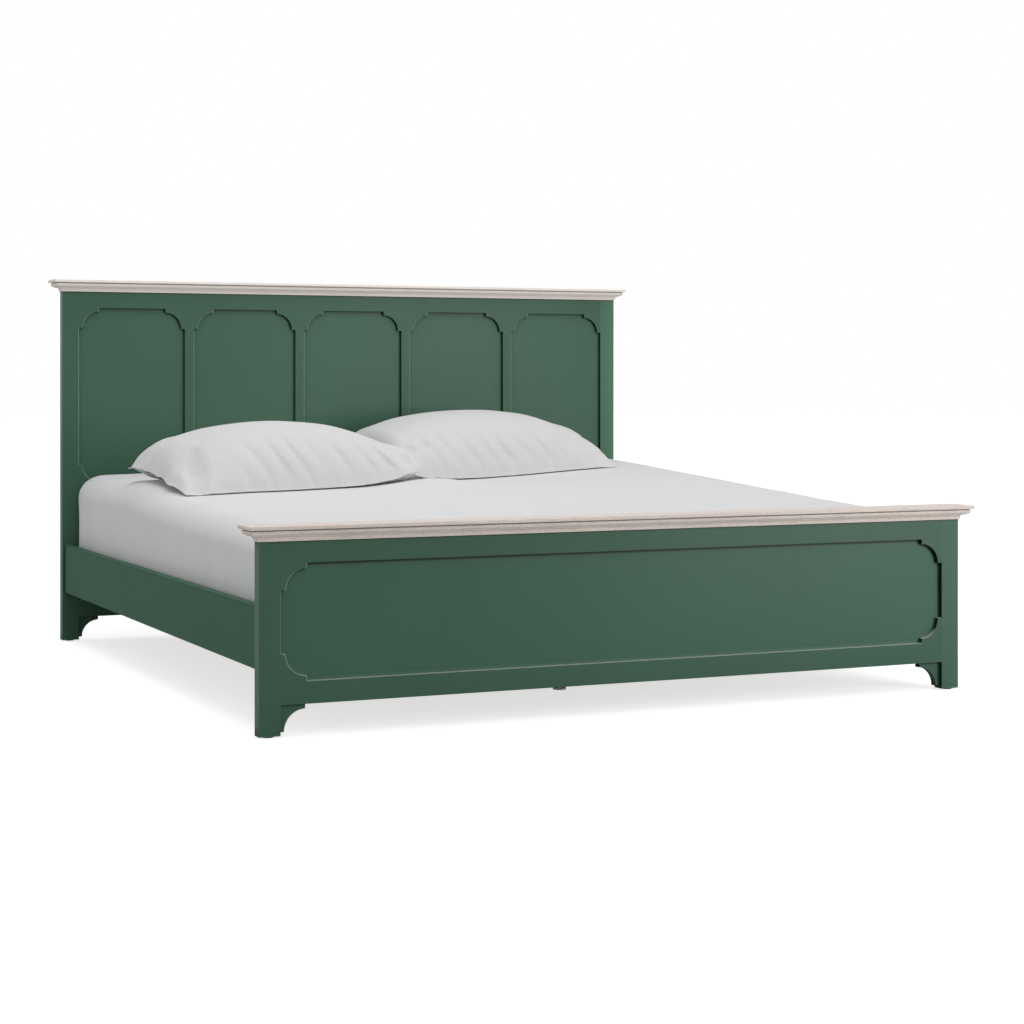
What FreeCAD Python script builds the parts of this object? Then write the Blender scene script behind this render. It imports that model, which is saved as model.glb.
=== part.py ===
import FreeCAD, Part
import math
import os
import re

import Sketcher
from FreeCAD import Placement, Rotation, Vector

# King size bed: a panelled headboard and footboard with moulded cornices, hooked side rails, slats on
# ledgers, a centre beam on levelling feet, and the bedding. The origin is on the floor at the middle of the
# bed, +Y points to the head and +Z up.

sizes = {
    # the two boards
    "bedWidth": 2030.0,  # over the posts
    "faceToFace": 2106.0,  # front of the footboard to front of the headboard
    "boardThickness": 34.5,
    "footboardHeight": 472.5,  # painted part, under the cornice
    "headboardHeight": 1149.0,
    "postWidth": 54.5,
    "apronClearance": 77.0,  # floor to the bottom rails
    "topRailHeight": 53.5,
    "bottomRailHeight": 56.0,
    "middleRailTop": 509.5,
    "middleRailHeight": 66.0,
    "mullionWidth": 32.5,
    # shaped corners of the panels and brackets
    "shoulderSize": 66.5,
    "shoulderStep": 12.7,
    # panels in their grooves
    "recessDepth": 12.0,
    "panelThickness": 10.0,
    "grooveDepth": 10.0,
    "jointClearance": 0.2,
    "bracketSetback": 12.0,
    "bracketThickness": 20.0,
    # cornice moulding
    "corniceOverhang": 32.5,
    "corniceHeight": 38.5,
    "capThickness": 9.5,
    "beadProud": 3.5,
    "beadHeight": 4.0,
    "cavettoRadius": 9.0,
    "shelfDepth": 4.0,
    "shelfRise": 2.0,
    "ovoloRadius": 9.0,
    "ovoloLip": 2.0,
    "quirkDepth": 3.0,
    "edgeEase": 1.5,
    # side rails
    "railThickness": 25.0,
    "railInset": 8.0,
    "railFloor": 160.5,
    "railHeight": 154.0,
    # slats and what carries them
    "slatTop": 246.0,
    "slatThickness": 18.0,
    "slatWidth": 70.0,
    "slatSideGap": 3.0,
    "slatEndMargin": 30.0,
    "ledgerWidth": 25.0,
    "ledgerHeight": 35.0,
    "ledgerEndGap": 30.0,
    "beamWidth": 40.0,
    "beamHeight": 70.0,
    "cleatWidth": 110.0,
    "cleatThickness": 25.0,
    "cleatBottom": 88.0,
    "legWidth": 40.0,
    "legSpacing": 620.0,
    "legBottom": 24.0,
    # levelling feet and glides
    "padRadius": 18.0,
    "padThickness": 5.0,
    "nutRadius": 7.5,
    "nutThickness": 5.0,
    "studRadius": 4.0,
    "studReach": 30.0,  # stud inside the leg
    "studTravel": 12.0,  # free bore above the stud
    "runningClearance": 0.05,
    "boltHalfLength": 30.0,
    "glideThickness": 3.0,
    "glideRadius": 14.0,
    "glideStemRadius": 2.5,
    "glideStemLength": 12.0,
    # hook plates and catch plates
    "plateWidth": 18.0,
    "plateHeight": 112.0,
    "plateThickness": 2.5,
    "hookThickness": 3.5,
    "hookReach": 6.0,
    "hookHeight": 12.0,
    "hookLip": 5.0,
    "hookSpacing": 58.0,
    "hookGap": 0.5,
    # screws
    "screwRadius": 2.0,
    "screwHeadRadius": 4.0,
    "screwHeadHeight": 3.0,
    "slatScrewLength": 38.0,
    "ledgerScrewLength": 40.0,
    "plateScrewLength": 22.0,
    "screwClearance": 0.1,
    # bedding
    "mattressSideGap": 15.0,  # mattress to side rail
    "mattressFootGap": 33.7,  # sheet to footboard
    "headGap": 2.0,  # sheet to headboard
    "mattressHeight": 300.0,  # at the edge of the crown, at the head
    "mattressShoulder": 80.0,
    "mattressCorner": 25.0,  # how far the upright corners draw in
    "mattressCrown": 18.0,
    "mattressFall": 50.0,  # the top falls this much towards the foot
    "sheetThickness": 1.6,
    "sheetTurnUnder": 120.0,
    "beddingGap": 0.3,
    "pillowLength": 750.0,
    "pillowDepth": 490.0,
    "pillowHeight": 185.0,
    "pillowSeamHeight": 56.0,
    "pillowDrawIn": 16.0,
    "pillowTip": 6.0,
    "leftPillowAcross": 495.0,  # from the middle of the bed to the pillow's middle
    "leftPillowAlong": 726.0,  # from the headboard to the pillow's middle
    "rightPillowAcross": 316.0,
    "rightPillowAlong": 312.0,
    "hemLength": 45.0,
    "caseThickness": 1.5,
    "caseClearance": 1.0,
    "overrun": 2.0,  # how far a cut passes the face that it opens
}
pillowTurns = {"left": 5.0, "right": 3.0}  # degrees
panelCount = 5
slatCount = 14
legCount = 3

doc = FreeCAD.newDocument("kingSizeBed")
sheet = doc.addObject("Spreadsheet::Sheet", "sizes")
for row, (alias, number) in enumerate(sizes.items(), 1):
    sheet.set(f"A{row}", alias)
    sheet.set(f"B{row}", str(number))
    sheet.setAlias(f"B{row}", alias)
doc.recompute()

pieces = {}


# expressions

def bound(text):
    """The expression with each size read from the sheet."""
    return re.sub("|".join(sorted(sizes, key=len, reverse=True)), lambda word: "sizes." + word.group(), text)


def value(text):
    """The expression's number now."""
    return float(sheet.evalExpression(bound(text)))


def minus(text):
    return f"-({text})"


halfWidth = "bedWidth / 2"
innerHalf = "(bedWidth / 2 - postWidth)"
footFace = "-(faceToFace + boardThickness) / 2"
headFace = "(faceToFace - boardThickness) / 2"
footInner = "-(faceToFace - boardThickness) / 2"
capSeat = "(corniceHeight - capThickness)"
shoulderRadius = "(shoulderSize - shoulderStep)"
grooveFront = "(recessDepth - jointClearance)"
grooveBack = "(recessDepth + panelThickness + jointClearance)"
tenonReach = "(grooveDepth - jointClearance)"
bottomRailTop = "(apronClearance + bottomRailHeight)"
ledgerTop = "(slatTop - slatThickness)"
beamBottom = "(slatTop - slatThickness - beamHeight)"
railInner = "(bedWidth / 2 - railInset - railThickness)"
mattressHalf = "(bedWidth / 2 - railInset - railThickness - mattressSideGap)"
mattressHead = f"({headFace} - headGap - sheetThickness - beddingGap)"
mattressLength = f"({mattressHead} - {footInner} - mattressFootGap - sheetThickness - beddingGap)"


# drawing and solid features

def newBody(name, place=("0", "0", "0"), turn=0):
    """A body with its own placement, turned about Z by whole quarter turns."""
    body = doc.addObject("PartDesign::Body", name)
    body.Placement = Placement(Vector(), Rotation(Vector(0, 0, 1), turn))
    for axis, text in zip("xyz", place):
        body.setExpression(f"Placement.Base.{axis}", bound(text))
    pieces[name] = body
    return body


def newSketch(body, name, role, lift="0"):
    plane = next(feature for feature in body.Origin.OriginFeatures if feature.Role == role)
    sketch = body.newObject("Sketcher::SketchObject", name)
    sketch.AttachmentSupport = [(plane, "")]
    sketch.MapMode = "FlatFace"
    sketch.setExpression("AttachmentOffset.Base.z", bound(lift))
    return sketch


def dimension(sketch, kind, text, *where):
    """A named dimension of the sketch, and what it is bound to."""
    constraint = Sketcher.Constraint(kind, *where, value(text))
    constraint.Name = f"{kind}{where[-2]}_{where[-1]}" if kind != "Radius" else f"{kind}{where[0]}"
    return constraint, text


def dimensioned(sketch, dimensions, joins=()):
    """Adds the joins and dimensions, and binds each dimension to the sheet."""
    sketch.addConstraint(list(joins) + [constraint for constraint, text in dimensions])
    for constraint, text in dimensions:
        sketch.setExpression(f"Constraints.{constraint.Name}", bound(text))


def outline(sketch, corners):
    """Closed outline through corners (x, y). A corner (x, y, radius, side) starts an arc to the next corner,
    with its centre on that side of the way there: 1 is left and -1 is right."""
    points = [Vector(value(corner[0]), value(corner[1]), 0) for corner in corners]
    curves = []
    starts = []  # which end of each curve its corner is
    for index, corner in enumerate(corners):
        here = points[index]
        there = points[(index + 1) % len(points)]
        if len(corner) == 2:
            curves.append(Part.LineSegment(here, there))
            starts.append(1)
            continue
        radius = value(corner[2])
        chord = there - here
        left = Vector(-chord.y, chord.x, 0).normalize() * corner[3]
        centre = (here + there) * 0.5 + left * math.sqrt(radius * radius - chord.Length ** 2 / 4)
        ends = (here, there) if corner[3] == 1 else (there, here)
        turns = [math.atan2(end.y - centre.y, end.x - centre.x) for end in ends]
        if turns[1] < turns[0]:
            turns[1] += 2 * math.pi
        curves.append(Part.ArcOfCircle(Part.Circle(centre, Vector(0, 0, 1), radius), *turns))
        starts.append(1 if corner[3] == 1 else 2)
    sketch.addGeometry(curves)
    joins = []
    dimensions = []
    for index, corner in enumerate(corners):
        after = (index + 1) % len(corners)
        joins.append(Sketcher.Constraint("Coincident", index, 3 - starts[index], after, starts[after]))
        dimensions.append(dimension(sketch, "DistanceX", corner[0], -1, 1, index, starts[index]))
        dimensions.append(dimension(sketch, "DistanceY", corner[1], -1, 1, index, starts[index]))
        if len(corner) > 2:
            dimensions.append(dimension(sketch, "Radius", corner[2], index))
    dimensioned(sketch, dimensions, joins)


def rectangle(low, high):
    return [low, (high[0], low[1]), high, (low[0], high[1])]


def circle(sketch, centre, radius):
    at = Vector(value(centre[0]), value(centre[1]), 0)
    index = sketch.addGeometry(Part.Circle(at, Vector(0, 0, 1), value(radius)))
    dimensions = [
        dimension(sketch, "DistanceX", centre[0], -1, 1, index, 3),
        dimension(sketch, "DistanceY", centre[1], -1, 1, index, 3),
        dimension(sketch, "Radius", radius, index),
    ]
    dimensioned(sketch, dimensions)


def raised(body, sketch, height, away=True, middle=False):
    """Pad of the sketch, away from its plane or to both sides of it."""
    pad = body.newObject("PartDesign::Pad", sketch.Name + "Pad")
    pad.Profile = sketch
    pad.setExpression("Length", bound(height))
    pad.Reversed = not away
    pad.Midplane = middle
    return pad


def sunk(body, sketch, depth):
    """Pocket of the sketch, towards the plane's own +Z."""
    before = body.Tip
    pocket = body.newObject("PartDesign::Pocket", sketch.Name + "Pocket")
    pocket.Profile = sketch
    pocket.setExpression("Length", bound(depth))
    pocket.Reversed = True
    doc.recompute()
    if pocket.Shape.Volume >= before.Shape.Volume:
        raise RuntimeError(f"{sketch.Name} cuts nothing")


def addBlock(body, name, low, high):
    """Block from low (x, y, z) to high, added to the body."""
    sketch = newSketch(body, name, "XY_Plane", low[2])
    outline(sketch, rectangle(low[:2], high[:2]))
    raised(body, sketch, f"({high[2]}) - ({low[2]})")


def cutBlock(body, name, low, high):
    sketch = newSketch(body, name, "XY_Plane", low[2])
    outline(sketch, rectangle(low[:2], high[:2]))
    sunk(body, sketch, f"({high[2]}) - ({low[2]})")


def cutHole(body, name, centre, radius, depth, lift="0"):
    sketch = newSketch(body, name, "XY_Plane", lift)
    circle(sketch, centre, radius)
    sunk(body, sketch, depth)


def block(name, low, size):
    """Plain block: low corner (x, y, z) and size (x, y, z)."""
    box = doc.addObject("Part::Box", name)
    for side, text in zip(("Length", "Width", "Height"), size):
        box.setExpression(side, bound(text))
    for axis, text in zip("xyz", low):
        box.setExpression(f"Placement.Base.{axis}", bound(text))
    pieces[name] = box
    return box


def drilled(name, blank, holes):
    """The blank less the holes, which are plain shapes."""
    pieces.pop(blank.Name, None)
    tool = doc.addObject("Part::Feature", name + "Holes")
    tool.Shape = Part.makeCompound(holes)
    cut = doc.addObject("Part::Cut", name)
    cut.Base = blank
    cut.Tool = tool
    pieces[name] = cut
    return cut


def loose(name, solids):
    """A node made of plain shapes: a soft form, or a group of like fittings."""
    feature = doc.addObject("Part::Feature", name)
    feature.Shape = solids[0] if len(solids) == 1 else Part.makeCompound(solids)
    pieces[name] = feature
    return feature


# boards

def openings(count):
    """Left and right edges of the openings between the posts, with mullions between them."""
    span = f"((2 * {innerHalf} - {count - 1} * mullionWidth) / {count})"
    edges = []
    for index in range(count):
        left = f"(-{innerHalf} + {index} * ({span} + mullionWidth))"
        edges.append((left, f"({left} + {span})"))
    return edges


def shoulders(count, edge, way):
    """Edge of a rail from left to right past its openings, with a shaped shoulder at each corner. way is 1
    where the shoulders rise from the rail and -1 where they hang from it."""
    side = 1 if way == 1 else -1
    sign = "+" if way == 1 else "-"
    tip = f"{edge} {sign} shoulderSize"
    step = f"{edge} {sign} shoulderStep"
    corners = [(minus(innerHalf), tip)]
    for left, right in openings(count):
        corners += [
            (f"{left} + shoulderStep", tip, shoulderRadius, side),
            (f"{left} + shoulderSize", step),
            (f"{left} + shoulderSize", edge),
            (f"{right} - shoulderSize", edge),
            (f"{right} - shoulderSize", step, shoulderRadius, side),
            (f"{right} - shoulderStep", tip),
        ]
    corners.append((innerHalf, tip))
    return corners


def plainEdge(edge):
    return [(minus(innerHalf), edge), (innerHalf, edge)]


def rail(name, face, lower, upper, grooves, tenon):
    """Rail between the posts: its edges, its grooves (low, high) and the heights that its tenons span."""
    body = newBody(name, ("0", face, "0"))
    sketch = newSketch(body, name + "Outline", "XZ_Plane")
    outline(sketch, lower + upper[::-1] if len(upper) == 2 else lower + turned(upper))
    raised(body, sketch, "boardThickness", away=False)
    doc.recompute()
    for index, (low, high) in enumerate(grooves):
        cutBlock(
            body,
            f"{name}Groove{index}",
            (f"-({innerHalf} + overrun)", grooveFront, low),
            (f"{innerHalf} + overrun", grooveBack, high),
        )
    for end, sign in (("Left", "-"), ("Right", "")):
        addBlock(
            body,
            f"{name}{end}Tenon",
            (f"{sign}({innerHalf} - grooveDepth)", "recessDepth", tenon[0]),
            (f"{sign}({innerHalf} + {tenonReach})", "recessDepth + panelThickness", tenon[1]),
        )


def turned(corners):
    """The same edge from right to left: each arc starts at its other end, centred on its other side."""
    result = []
    for index in range(len(corners) - 1, -1, -1):
        before = corners[index - 1] if index else ("", "")
        place = tuple(corners[index][:2])
        result.append(place + (before[2], -before[3]) if len(before) > 2 else place)
    return result


def post(name, side, face, height, catchAtBack):
    """Post with the groove for rails and panels, the bed of the catch plate, the pockets behind its hooks
    and the hole of the glide. side is -1 on the left and 1 on the right."""
    inward = "-" if side == 1 else ""
    body = newBody(name + "_stock", (f"{side} * {halfWidth}", face, "glideThickness"))
    top = f"({height} + {capSeat} - glideThickness)"
    addBlock(body, name + "Stock", ("0", "0", "0"), (f"{inward}postWidth", "boardThickness", top))
    doc.recompute()
    cutBlock(
        body,
        name + "Groove",
        (f"{inward}(postWidth - grooveDepth)", grooveFront, "(apronClearance - glideThickness)"),
        (f"{inward}(postWidth + overrun)", grooveBack, f"({top} + overrun)"),
    )
    cutHole(
        body,
        name + "GlideHole",
        (f"{inward}postWidth / 2", "boardThickness / 2"),
        "glideStemRadius + runningClearance",
        "glideStemLength",
    )
    middle = "(railInset + railThickness / 2)"
    level = "(railFloor + railHeight / 2 - glideThickness)"
    ends = ("-overrun", "plateThickness")
    if catchAtBack:
        ends = ("boardThickness - plateThickness", "boardThickness + overrun")
    cutBlock(
        body,
        name + "PlateBed",
        (f"{inward}({middle} - plateWidth / 2)", ends[0], f"({level} - plateHeight / 2)"),
        (f"{inward}({middle} + plateWidth / 2)", ends[1], f"({level} + plateHeight / 2)"),
    )
    depth = "(plateThickness + hookReach + 2 * hookGap)"
    ends = (f"boardThickness - {depth}", "boardThickness + overrun") if catchAtBack else ("-overrun", depth)
    aside = "(hookThickness / 2 + hookGap)"
    reach = "(hookHeight / 2 + hookLip + hookGap)"
    for index, sign in enumerate("-+"):
        hook = f"({level} {sign} hookSpacing / 2)"
        cutBlock(
            body,
            f"{name}HookPocket{index}",
            (f"{inward}({middle} - {aside})", ends[0], f"({hook} - {reach})"),
            (f"{inward}({middle} + {aside})", ends[1], f"({hook} + {reach})"),
        )
    drilled(name, body, atRailEnds(plateScrews(-1, "screwClearance")))


def bracket(name, side, face):
    """Shaped bracket in the corner under the bottom rail."""
    inward = "-" if side == 1 else ""
    body = newBody(name, (f"{side} * {innerHalf}", f"{face} + bracketSetback", "apronClearance"))
    sketch = newSketch(body, name + "Outline", "XZ_Plane")
    corners = [
        ("0", "0"),
        (f"{inward}shoulderSize", "0"),
        (f"{inward}shoulderSize", "-shoulderStep", shoulderRadius, -side),
        (f"{inward}shoulderStep", "-shoulderSize"),
        ("0", "-shoulderSize"),
    ]
    outline(sketch, corners)
    raised(body, sketch, "bracketThickness", away=False)


def moulding(name, length, place, turn):
    """Cornice moulding with mitred ends. Its face looks to -Y before it is turned."""
    body = newBody(name, place, turn)
    sketch = newSketch(body, name + "Profile", "YZ_Plane")
    cavettoTop = "beadHeight + cavettoRadius"
    shelfOut = "beadProud + cavettoRadius + shelfDepth"
    shelfTop = f"{cavettoTop} + shelfRise"
    ovoloOut = f"{shelfOut} + ovoloRadius"
    ovoloTop = f"{shelfTop} + ovoloRadius"
    profile = [
        ("0", "0"),
        ("-beadProud", "0"),
        ("-beadProud", "beadHeight", "cavettoRadius", 1),
        ("-(beadProud + cavettoRadius)", cavettoTop),
        (minus(shelfOut), cavettoTop),
        (minus(shelfOut), shelfTop, "ovoloRadius", -1),
        (minus(ovoloOut), ovoloTop),
        (minus(ovoloOut), f"{ovoloTop} + ovoloLip"),
        (f"-({ovoloOut} - quirkDepth)", f"{ovoloTop} + ovoloLip"),
        (f"-({ovoloOut} - quirkDepth)", capSeat),
        ("-(corniceOverhang - edgeEase)", capSeat),
        ("-corniceOverhang", f"{capSeat} + edgeEase"),
        ("-corniceOverhang", "corniceHeight - edgeEase"),
        ("-(corniceOverhang - edgeEase)", "corniceHeight"),
        ("0", "corniceHeight"),
    ]
    outline(sketch, profile)
    raised(body, sketch, f"{length} + 2 * corniceOverhang", middle=True)
    doc.recompute()
    for end, sign in (("Left", "-"), ("Right", "")):
        mitre = newSketch(body, f"{name}{end}Mitre", "XY_Plane", "-overrun")
        reach = f"({length} / 2 + corniceOverhang + overrun)"
        outline(
            mitre,
            [
                (f"{sign}({length} / 2 - overrun)", "overrun"),
                (f"{sign}{reach}", "-(corniceOverhang + overrun)"),
                (f"{sign}{reach}", "overrun"),
            ],
        )
        sunk(body, mitre, "corniceHeight + 2 * overrun")


def cornice(board, face, height):
    """Four mitred mouldings round the top of a board, and the cap board between them."""
    middle = f"{face} + boardThickness / 2"
    moulding(board + "_cornice_front", "bedWidth", ("0", face, height), 0)
    moulding(board + "_cornice_back", "bedWidth", ("0", f"{face} + boardThickness", height), 180)
    moulding(board + "_cornice_left", "boardThickness", (minus(halfWidth), middle, height), -90)
    moulding(board + "_cornice_right", "boardThickness", (halfWidth, middle, height), 90)
    block(
        board + "_cap_board",
        (minus(halfWidth), face, f"{height} + {capSeat}"),
        ("bedWidth", "boardThickness", "capThickness"),
    )


def panel(name, face, left, right, low, high):
    """Panel in its grooves. The edges are those of the opening that it fills."""
    block(
        name,
        (f"{left} - {tenonReach}", f"{face} + recessDepth", f"{low} - {tenonReach}"),
        (f"{right} - {left} + 2 * {tenonReach}", "panelThickness", f"{high} - {low} + 2 * {tenonReach}"),
    )


def mullion(name, face, left, low, high):
    """Mullion grooved on both sides, with a long tongue into the grooves of the rails."""
    body = newBody(name, (left, face, "0"))
    web = "(mullionWidth - 2 * grooveDepth)"
    section = newSketch(body, name + "Section", "XY_Plane", f"{low} + shoulderSize")
    outline(
        section,
        [
            ("0", "0"),
            ("mullionWidth", "0"),
            ("mullionWidth", grooveFront),
            (f"grooveDepth + {web}", grooveFront),
            (f"grooveDepth + {web}", grooveBack),
            ("mullionWidth", grooveBack),
            ("mullionWidth", "boardThickness"),
            ("0", "boardThickness"),
            ("0", grooveBack),
            ("grooveDepth", grooveBack),
            ("grooveDepth", grooveFront),
            ("0", grooveFront),
        ],
    )
    raised(body, section, f"{high} - {low} - 2 * shoulderSize")
    addBlock(
        body,
        name + "Tongue",
        ("grooveDepth", "recessDepth", f"({low} - {tenonReach})"),
        (f"grooveDepth + {web}", "recessDepth + panelThickness", f"({high} + {tenonReach})"),
    )


def footboard():
    opening = ("(footboardHeight - topRailHeight)", bottomRailTop)
    top = f"(footboardHeight + {capSeat})"
    post("footboard_left_post", -1, footFace, "footboardHeight", True)
    post("footboard_right_post", 1, footFace, "footboardHeight", True)
    rail(
        "footboard_top_rail",
        footFace,
        shoulders(1, opening[0], -1),
        plainEdge(top),
        [(f"{opening[0]} - shoulderSize - overrun", f"{opening[0]} + grooveDepth")],
        (f"({opening[0]} + grooveDepth)", top),
    )
    rail(
        "footboard_bottom_rail",
        footFace,
        plainEdge("apronClearance"),
        shoulders(1, bottomRailTop, 1),
        [(f"{bottomRailTop} - grooveDepth", f"{bottomRailTop} + shoulderSize + overrun")],
        ("apronClearance", f"({bottomRailTop} - grooveDepth)"),
    )
    panel("footboard_panel", footFace, minus(innerHalf), innerHalf, bottomRailTop, opening[0])
    bracket("footboard_left_bracket", -1, footFace)
    bracket("footboard_right_bracket", 1, footFace)
    cornice("footboard", footFace, "footboardHeight")


def headboard():
    panelTop = "(headboardHeight - topRailHeight)"
    top = f"(headboardHeight + {capSeat})"
    railBottom = "(middleRailTop - middleRailHeight)"
    post("headboard_left_post", -1, headFace, "headboardHeight", False)
    post("headboard_right_post", 1, headFace, "headboardHeight", False)
    rail(
        "headboard_top_rail",
        headFace,
        shoulders(panelCount, panelTop, -1),
        plainEdge(top),
        [(f"{panelTop} - shoulderSize - overrun", f"{panelTop} + grooveDepth")],
        (f"({panelTop} + grooveDepth)", top),
    )
    rail(
        "headboard_middle_rail",
        headFace,
        plainEdge(railBottom),
        shoulders(panelCount, "middleRailTop", 1),
        [
            (f"{railBottom} - overrun", f"{railBottom} + grooveDepth"),
            ("middleRailTop - grooveDepth", "middleRailTop + shoulderSize + overrun"),
        ],
        (f"({railBottom} + grooveDepth)", "(middleRailTop - grooveDepth)"),
    )
    rail(
        "headboard_bottom_rail",
        headFace,
        plainEdge("apronClearance"),
        plainEdge(bottomRailTop),
        [(f"{bottomRailTop} - grooveDepth", f"{bottomRailTop} + overrun")],
        ("apronClearance", f"({bottomRailTop} - grooveDepth)"),
    )
    edges = openings(panelCount)
    for number, (left, right) in enumerate(edges, 1):
        panel(f"headboard_panel_{number}", headFace, left, right, "middleRailTop", panelTop)
    for number, (left, right) in enumerate(edges[:-1], 1):
        mullion(f"headboard_mullion_{number}", headFace, right, "middleRailTop", panelTop)
    panel("headboard_lower_panel", headFace, minus(innerHalf), innerHalf, bottomRailTop, railBottom)
    bracket("headboard_left_bracket", -1, headFace)
    bracket("headboard_right_bracket", 1, headFace)
    cornice("headboard", headFace, "headboardHeight")


# rails, slats and hardware

def screw(place, direction, length, clearance="0"):
    """Countersunk screw, its head's top at place, pointing along direction."""
    wide = value(f"screwHeadRadius + {clearance}")
    narrow = value(f"screwRadius + {clearance}")
    neck = value("screwHeadHeight")
    end = value(length)
    profile = [(0, 0), (wide, 0), (narrow, neck), (narrow, end), (0, end), (0, 0)]
    half = Part.Face(Part.makePolygon([Vector(across, 0, along) for across, along in profile]))
    solid = half.revolve(Vector(), Vector(0, 0, 1), 360)
    solid.Placement = Placement(place, Rotation(Vector(0, 0, 1), direction))
    return solid


def slatRows():
    """Middle of each slat along Y."""
    first = value(f"{footInner} + slatEndMargin + slatWidth / 2")
    last = value(f"{headFace} - slatEndMargin - slatWidth / 2")
    return [first + (last - first) * index / (slatCount - 1) for index in range(slatCount)]


def slatScrews(clearance):
    across = value(f"{railInner} - ledgerWidth / 2")
    top = value("slatTop")
    return [
        screw(Vector(side * across, row, top), Vector(0, 0, -1), "slatScrewLength", clearance)
        for row in slatRows()
        for side in (-1, 1)
    ]


def ledgerScrews(side, clearance):
    """A screw midway in every other gap between the slats."""
    face = side * value(f"{railInner} - ledgerWidth")
    level = value(f"{ledgerTop} - ledgerHeight / 2")
    rows = slatRows()
    middles = [(rows[index] + rows[index + 1]) / 2 for index in range(0, slatCount - 1, 2)]
    inward = Vector(side, 0, 0)
    return [screw(Vector(face, row, level), inward, "ledgerScrewLength", clearance) for row in middles]


def atRailEnds(solids):
    """The fittings drawn at the left rail's foot end, copied to the four rail ends."""
    corners = []
    for solid in solids:
        for flipX in (False, True):
            for flipY in (False, True):
                copy = solid.copy()
                if flipX:
                    copy = copy.mirror(Vector(), Vector(1, 0, 0))
                if flipY:
                    copy = copy.mirror(Vector(), Vector(0, 1, 0))
                corners.append(copy)
    return corners


def plateLevel():
    return value("railFloor + railHeight / 2")


def plateStock(low, high):
    """Plate at the left rail's foot end, between two places along Y."""
    across = -value(f"{halfWidth} - railInset - railThickness / 2")
    width = value("plateWidth")
    height = value("plateHeight")
    corner = Vector(across - width / 2, low, plateLevel() - height / 2)
    return Part.makeBox(width, high - low, height, corner)


def hookPlate():
    """Plate let into the rail's end, with two hooks that drop behind the catch plate."""
    joint = value(footInner)
    plate = plateStock(joint, joint + value("plateThickness"))
    across = -value(f"{halfWidth} - railInset - railThickness / 2")
    thickness = value("hookThickness")
    left = across - thickness / 2
    neck = value("plateThickness + hookGap")
    reach = value("hookReach - hookGap")
    for sign in (-1, 1):
        bottom = plateLevel() + sign * value("hookSpacing / 2") - value("hookHeight / 2")
        hook = Part.makeBox(thickness, neck, value("hookHeight"), Vector(left, joint - neck, bottom))
        lip = Part.makeBox(
            thickness,
            reach,
            value("hookHeight + hookLip"),
            Vector(left, joint - neck - reach, bottom - value("hookLip")),
        )
        plate = plate.fuse(hook).fuse(lip)
    return plate.removeSplitter()


def catchPlate():
    """Slotted plate let into the post."""
    joint = value(footInner)
    thickness = value("plateThickness")
    plate = plateStock(joint - thickness, joint)
    across = -value(f"{halfWidth} - railInset - railThickness / 2")
    wide = value("hookThickness + 2 * hookGap")
    for sign in (-1, 1):
        bottom = plateLevel() + sign * value("hookSpacing / 2") - value("hookHeight / 2")
        slot = Part.makeBox(
            wide,
            thickness + 2 * value("overrun"),
            value("hookHeight + hookLip + hookGap"),
            Vector(across - wide / 2, joint - thickness - value("overrun"), bottom),
        )
        plate = plate.cut(slot)
    return plate


def plateScrews(way, clearance="0"):
    """Two screws through a plate: way is 1 into the rail's end and -1 into the post."""
    joint = value(footInner)
    across = -value(f"{halfWidth} - railInset - railThickness / 2")
    edge = value("plateHeight / 2 - screwHeadRadius - plateThickness")
    length = "plateScrewLength"
    return [
        screw(Vector(across, joint, plateLevel() + sign * edge), Vector(0, way, 0), length, clearance)
        for sign in (-1, 1)
    ]


def sideRails():
    holes = atRailEnds([plateStock(value(footInner), value(f"{footInner} + plateThickness"))])
    holes += atRailEnds(plateScrews(1, "screwClearance"))
    for word, side in (("left", -1), ("right", 1)):
        ledgerHoles = ledgerScrews(side, "screwClearance")
        low = f"-({halfWidth} - railInset)" if side == -1 else railInner
        stock = block(
            word + "_side_rail_stock",
            (low, footInner, "railFloor"),
            ("railThickness", "faceToFace - boardThickness", "railHeight"),
        )
        drilled(word + "_side_rail", stock, holes + ledgerHoles)
        low = minus(railInner) if side == -1 else f"{railInner} - ledgerWidth"
        stock = block(
            word + "_slat_ledger_stock",
            (low, f"{footInner} + ledgerEndGap", f"{ledgerTop} - ledgerHeight"),
            ("ledgerWidth", "faceToFace - boardThickness - 2 * ledgerEndGap", "ledgerHeight"),
        )
        drilled(word + "_slat_ledger", stock, ledgerHoles + slatScrews("screwClearance"))
    loose("ledger_screws", ledgerScrews(-1, "0") + ledgerScrews(1, "0"))


def hardware():
    hook = hookPlate()
    catch = catchPlate()
    for hole in plateScrews(1, "screwClearance"):
        hook = hook.cut(hole)
    for hole in plateScrews(-1, "screwClearance"):
        catch = catch.cut(hole)
    loose("rail_hook_plates", atRailEnds([hook]))
    loose("post_catch_plates", atRailEnds([catch]))
    loose("plate_screws", atRailEnds(plateScrews(1) + plateScrews(-1)))


def slats():
    half = value(f"{railInner} - slatSideGap")
    width = value("slatWidth")
    thickness = value("slatThickness")
    floor = value(ledgerTop)
    blanks = [
        Part.makeBox(2 * half, width, thickness, Vector(-half, row - width / 2, floor)) for row in slatRows()
    ]
    holes = Part.makeCompound(slatScrews("screwClearance"))
    loose("slats", [blank.cut(holes).Solids[0] for blank in blanks])
    loose("slat_screws", slatScrews("0"))


def legRows():
    return [value(f"legSpacing * {index - (legCount - 1) / 2}") for index in range(legCount)]


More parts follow.
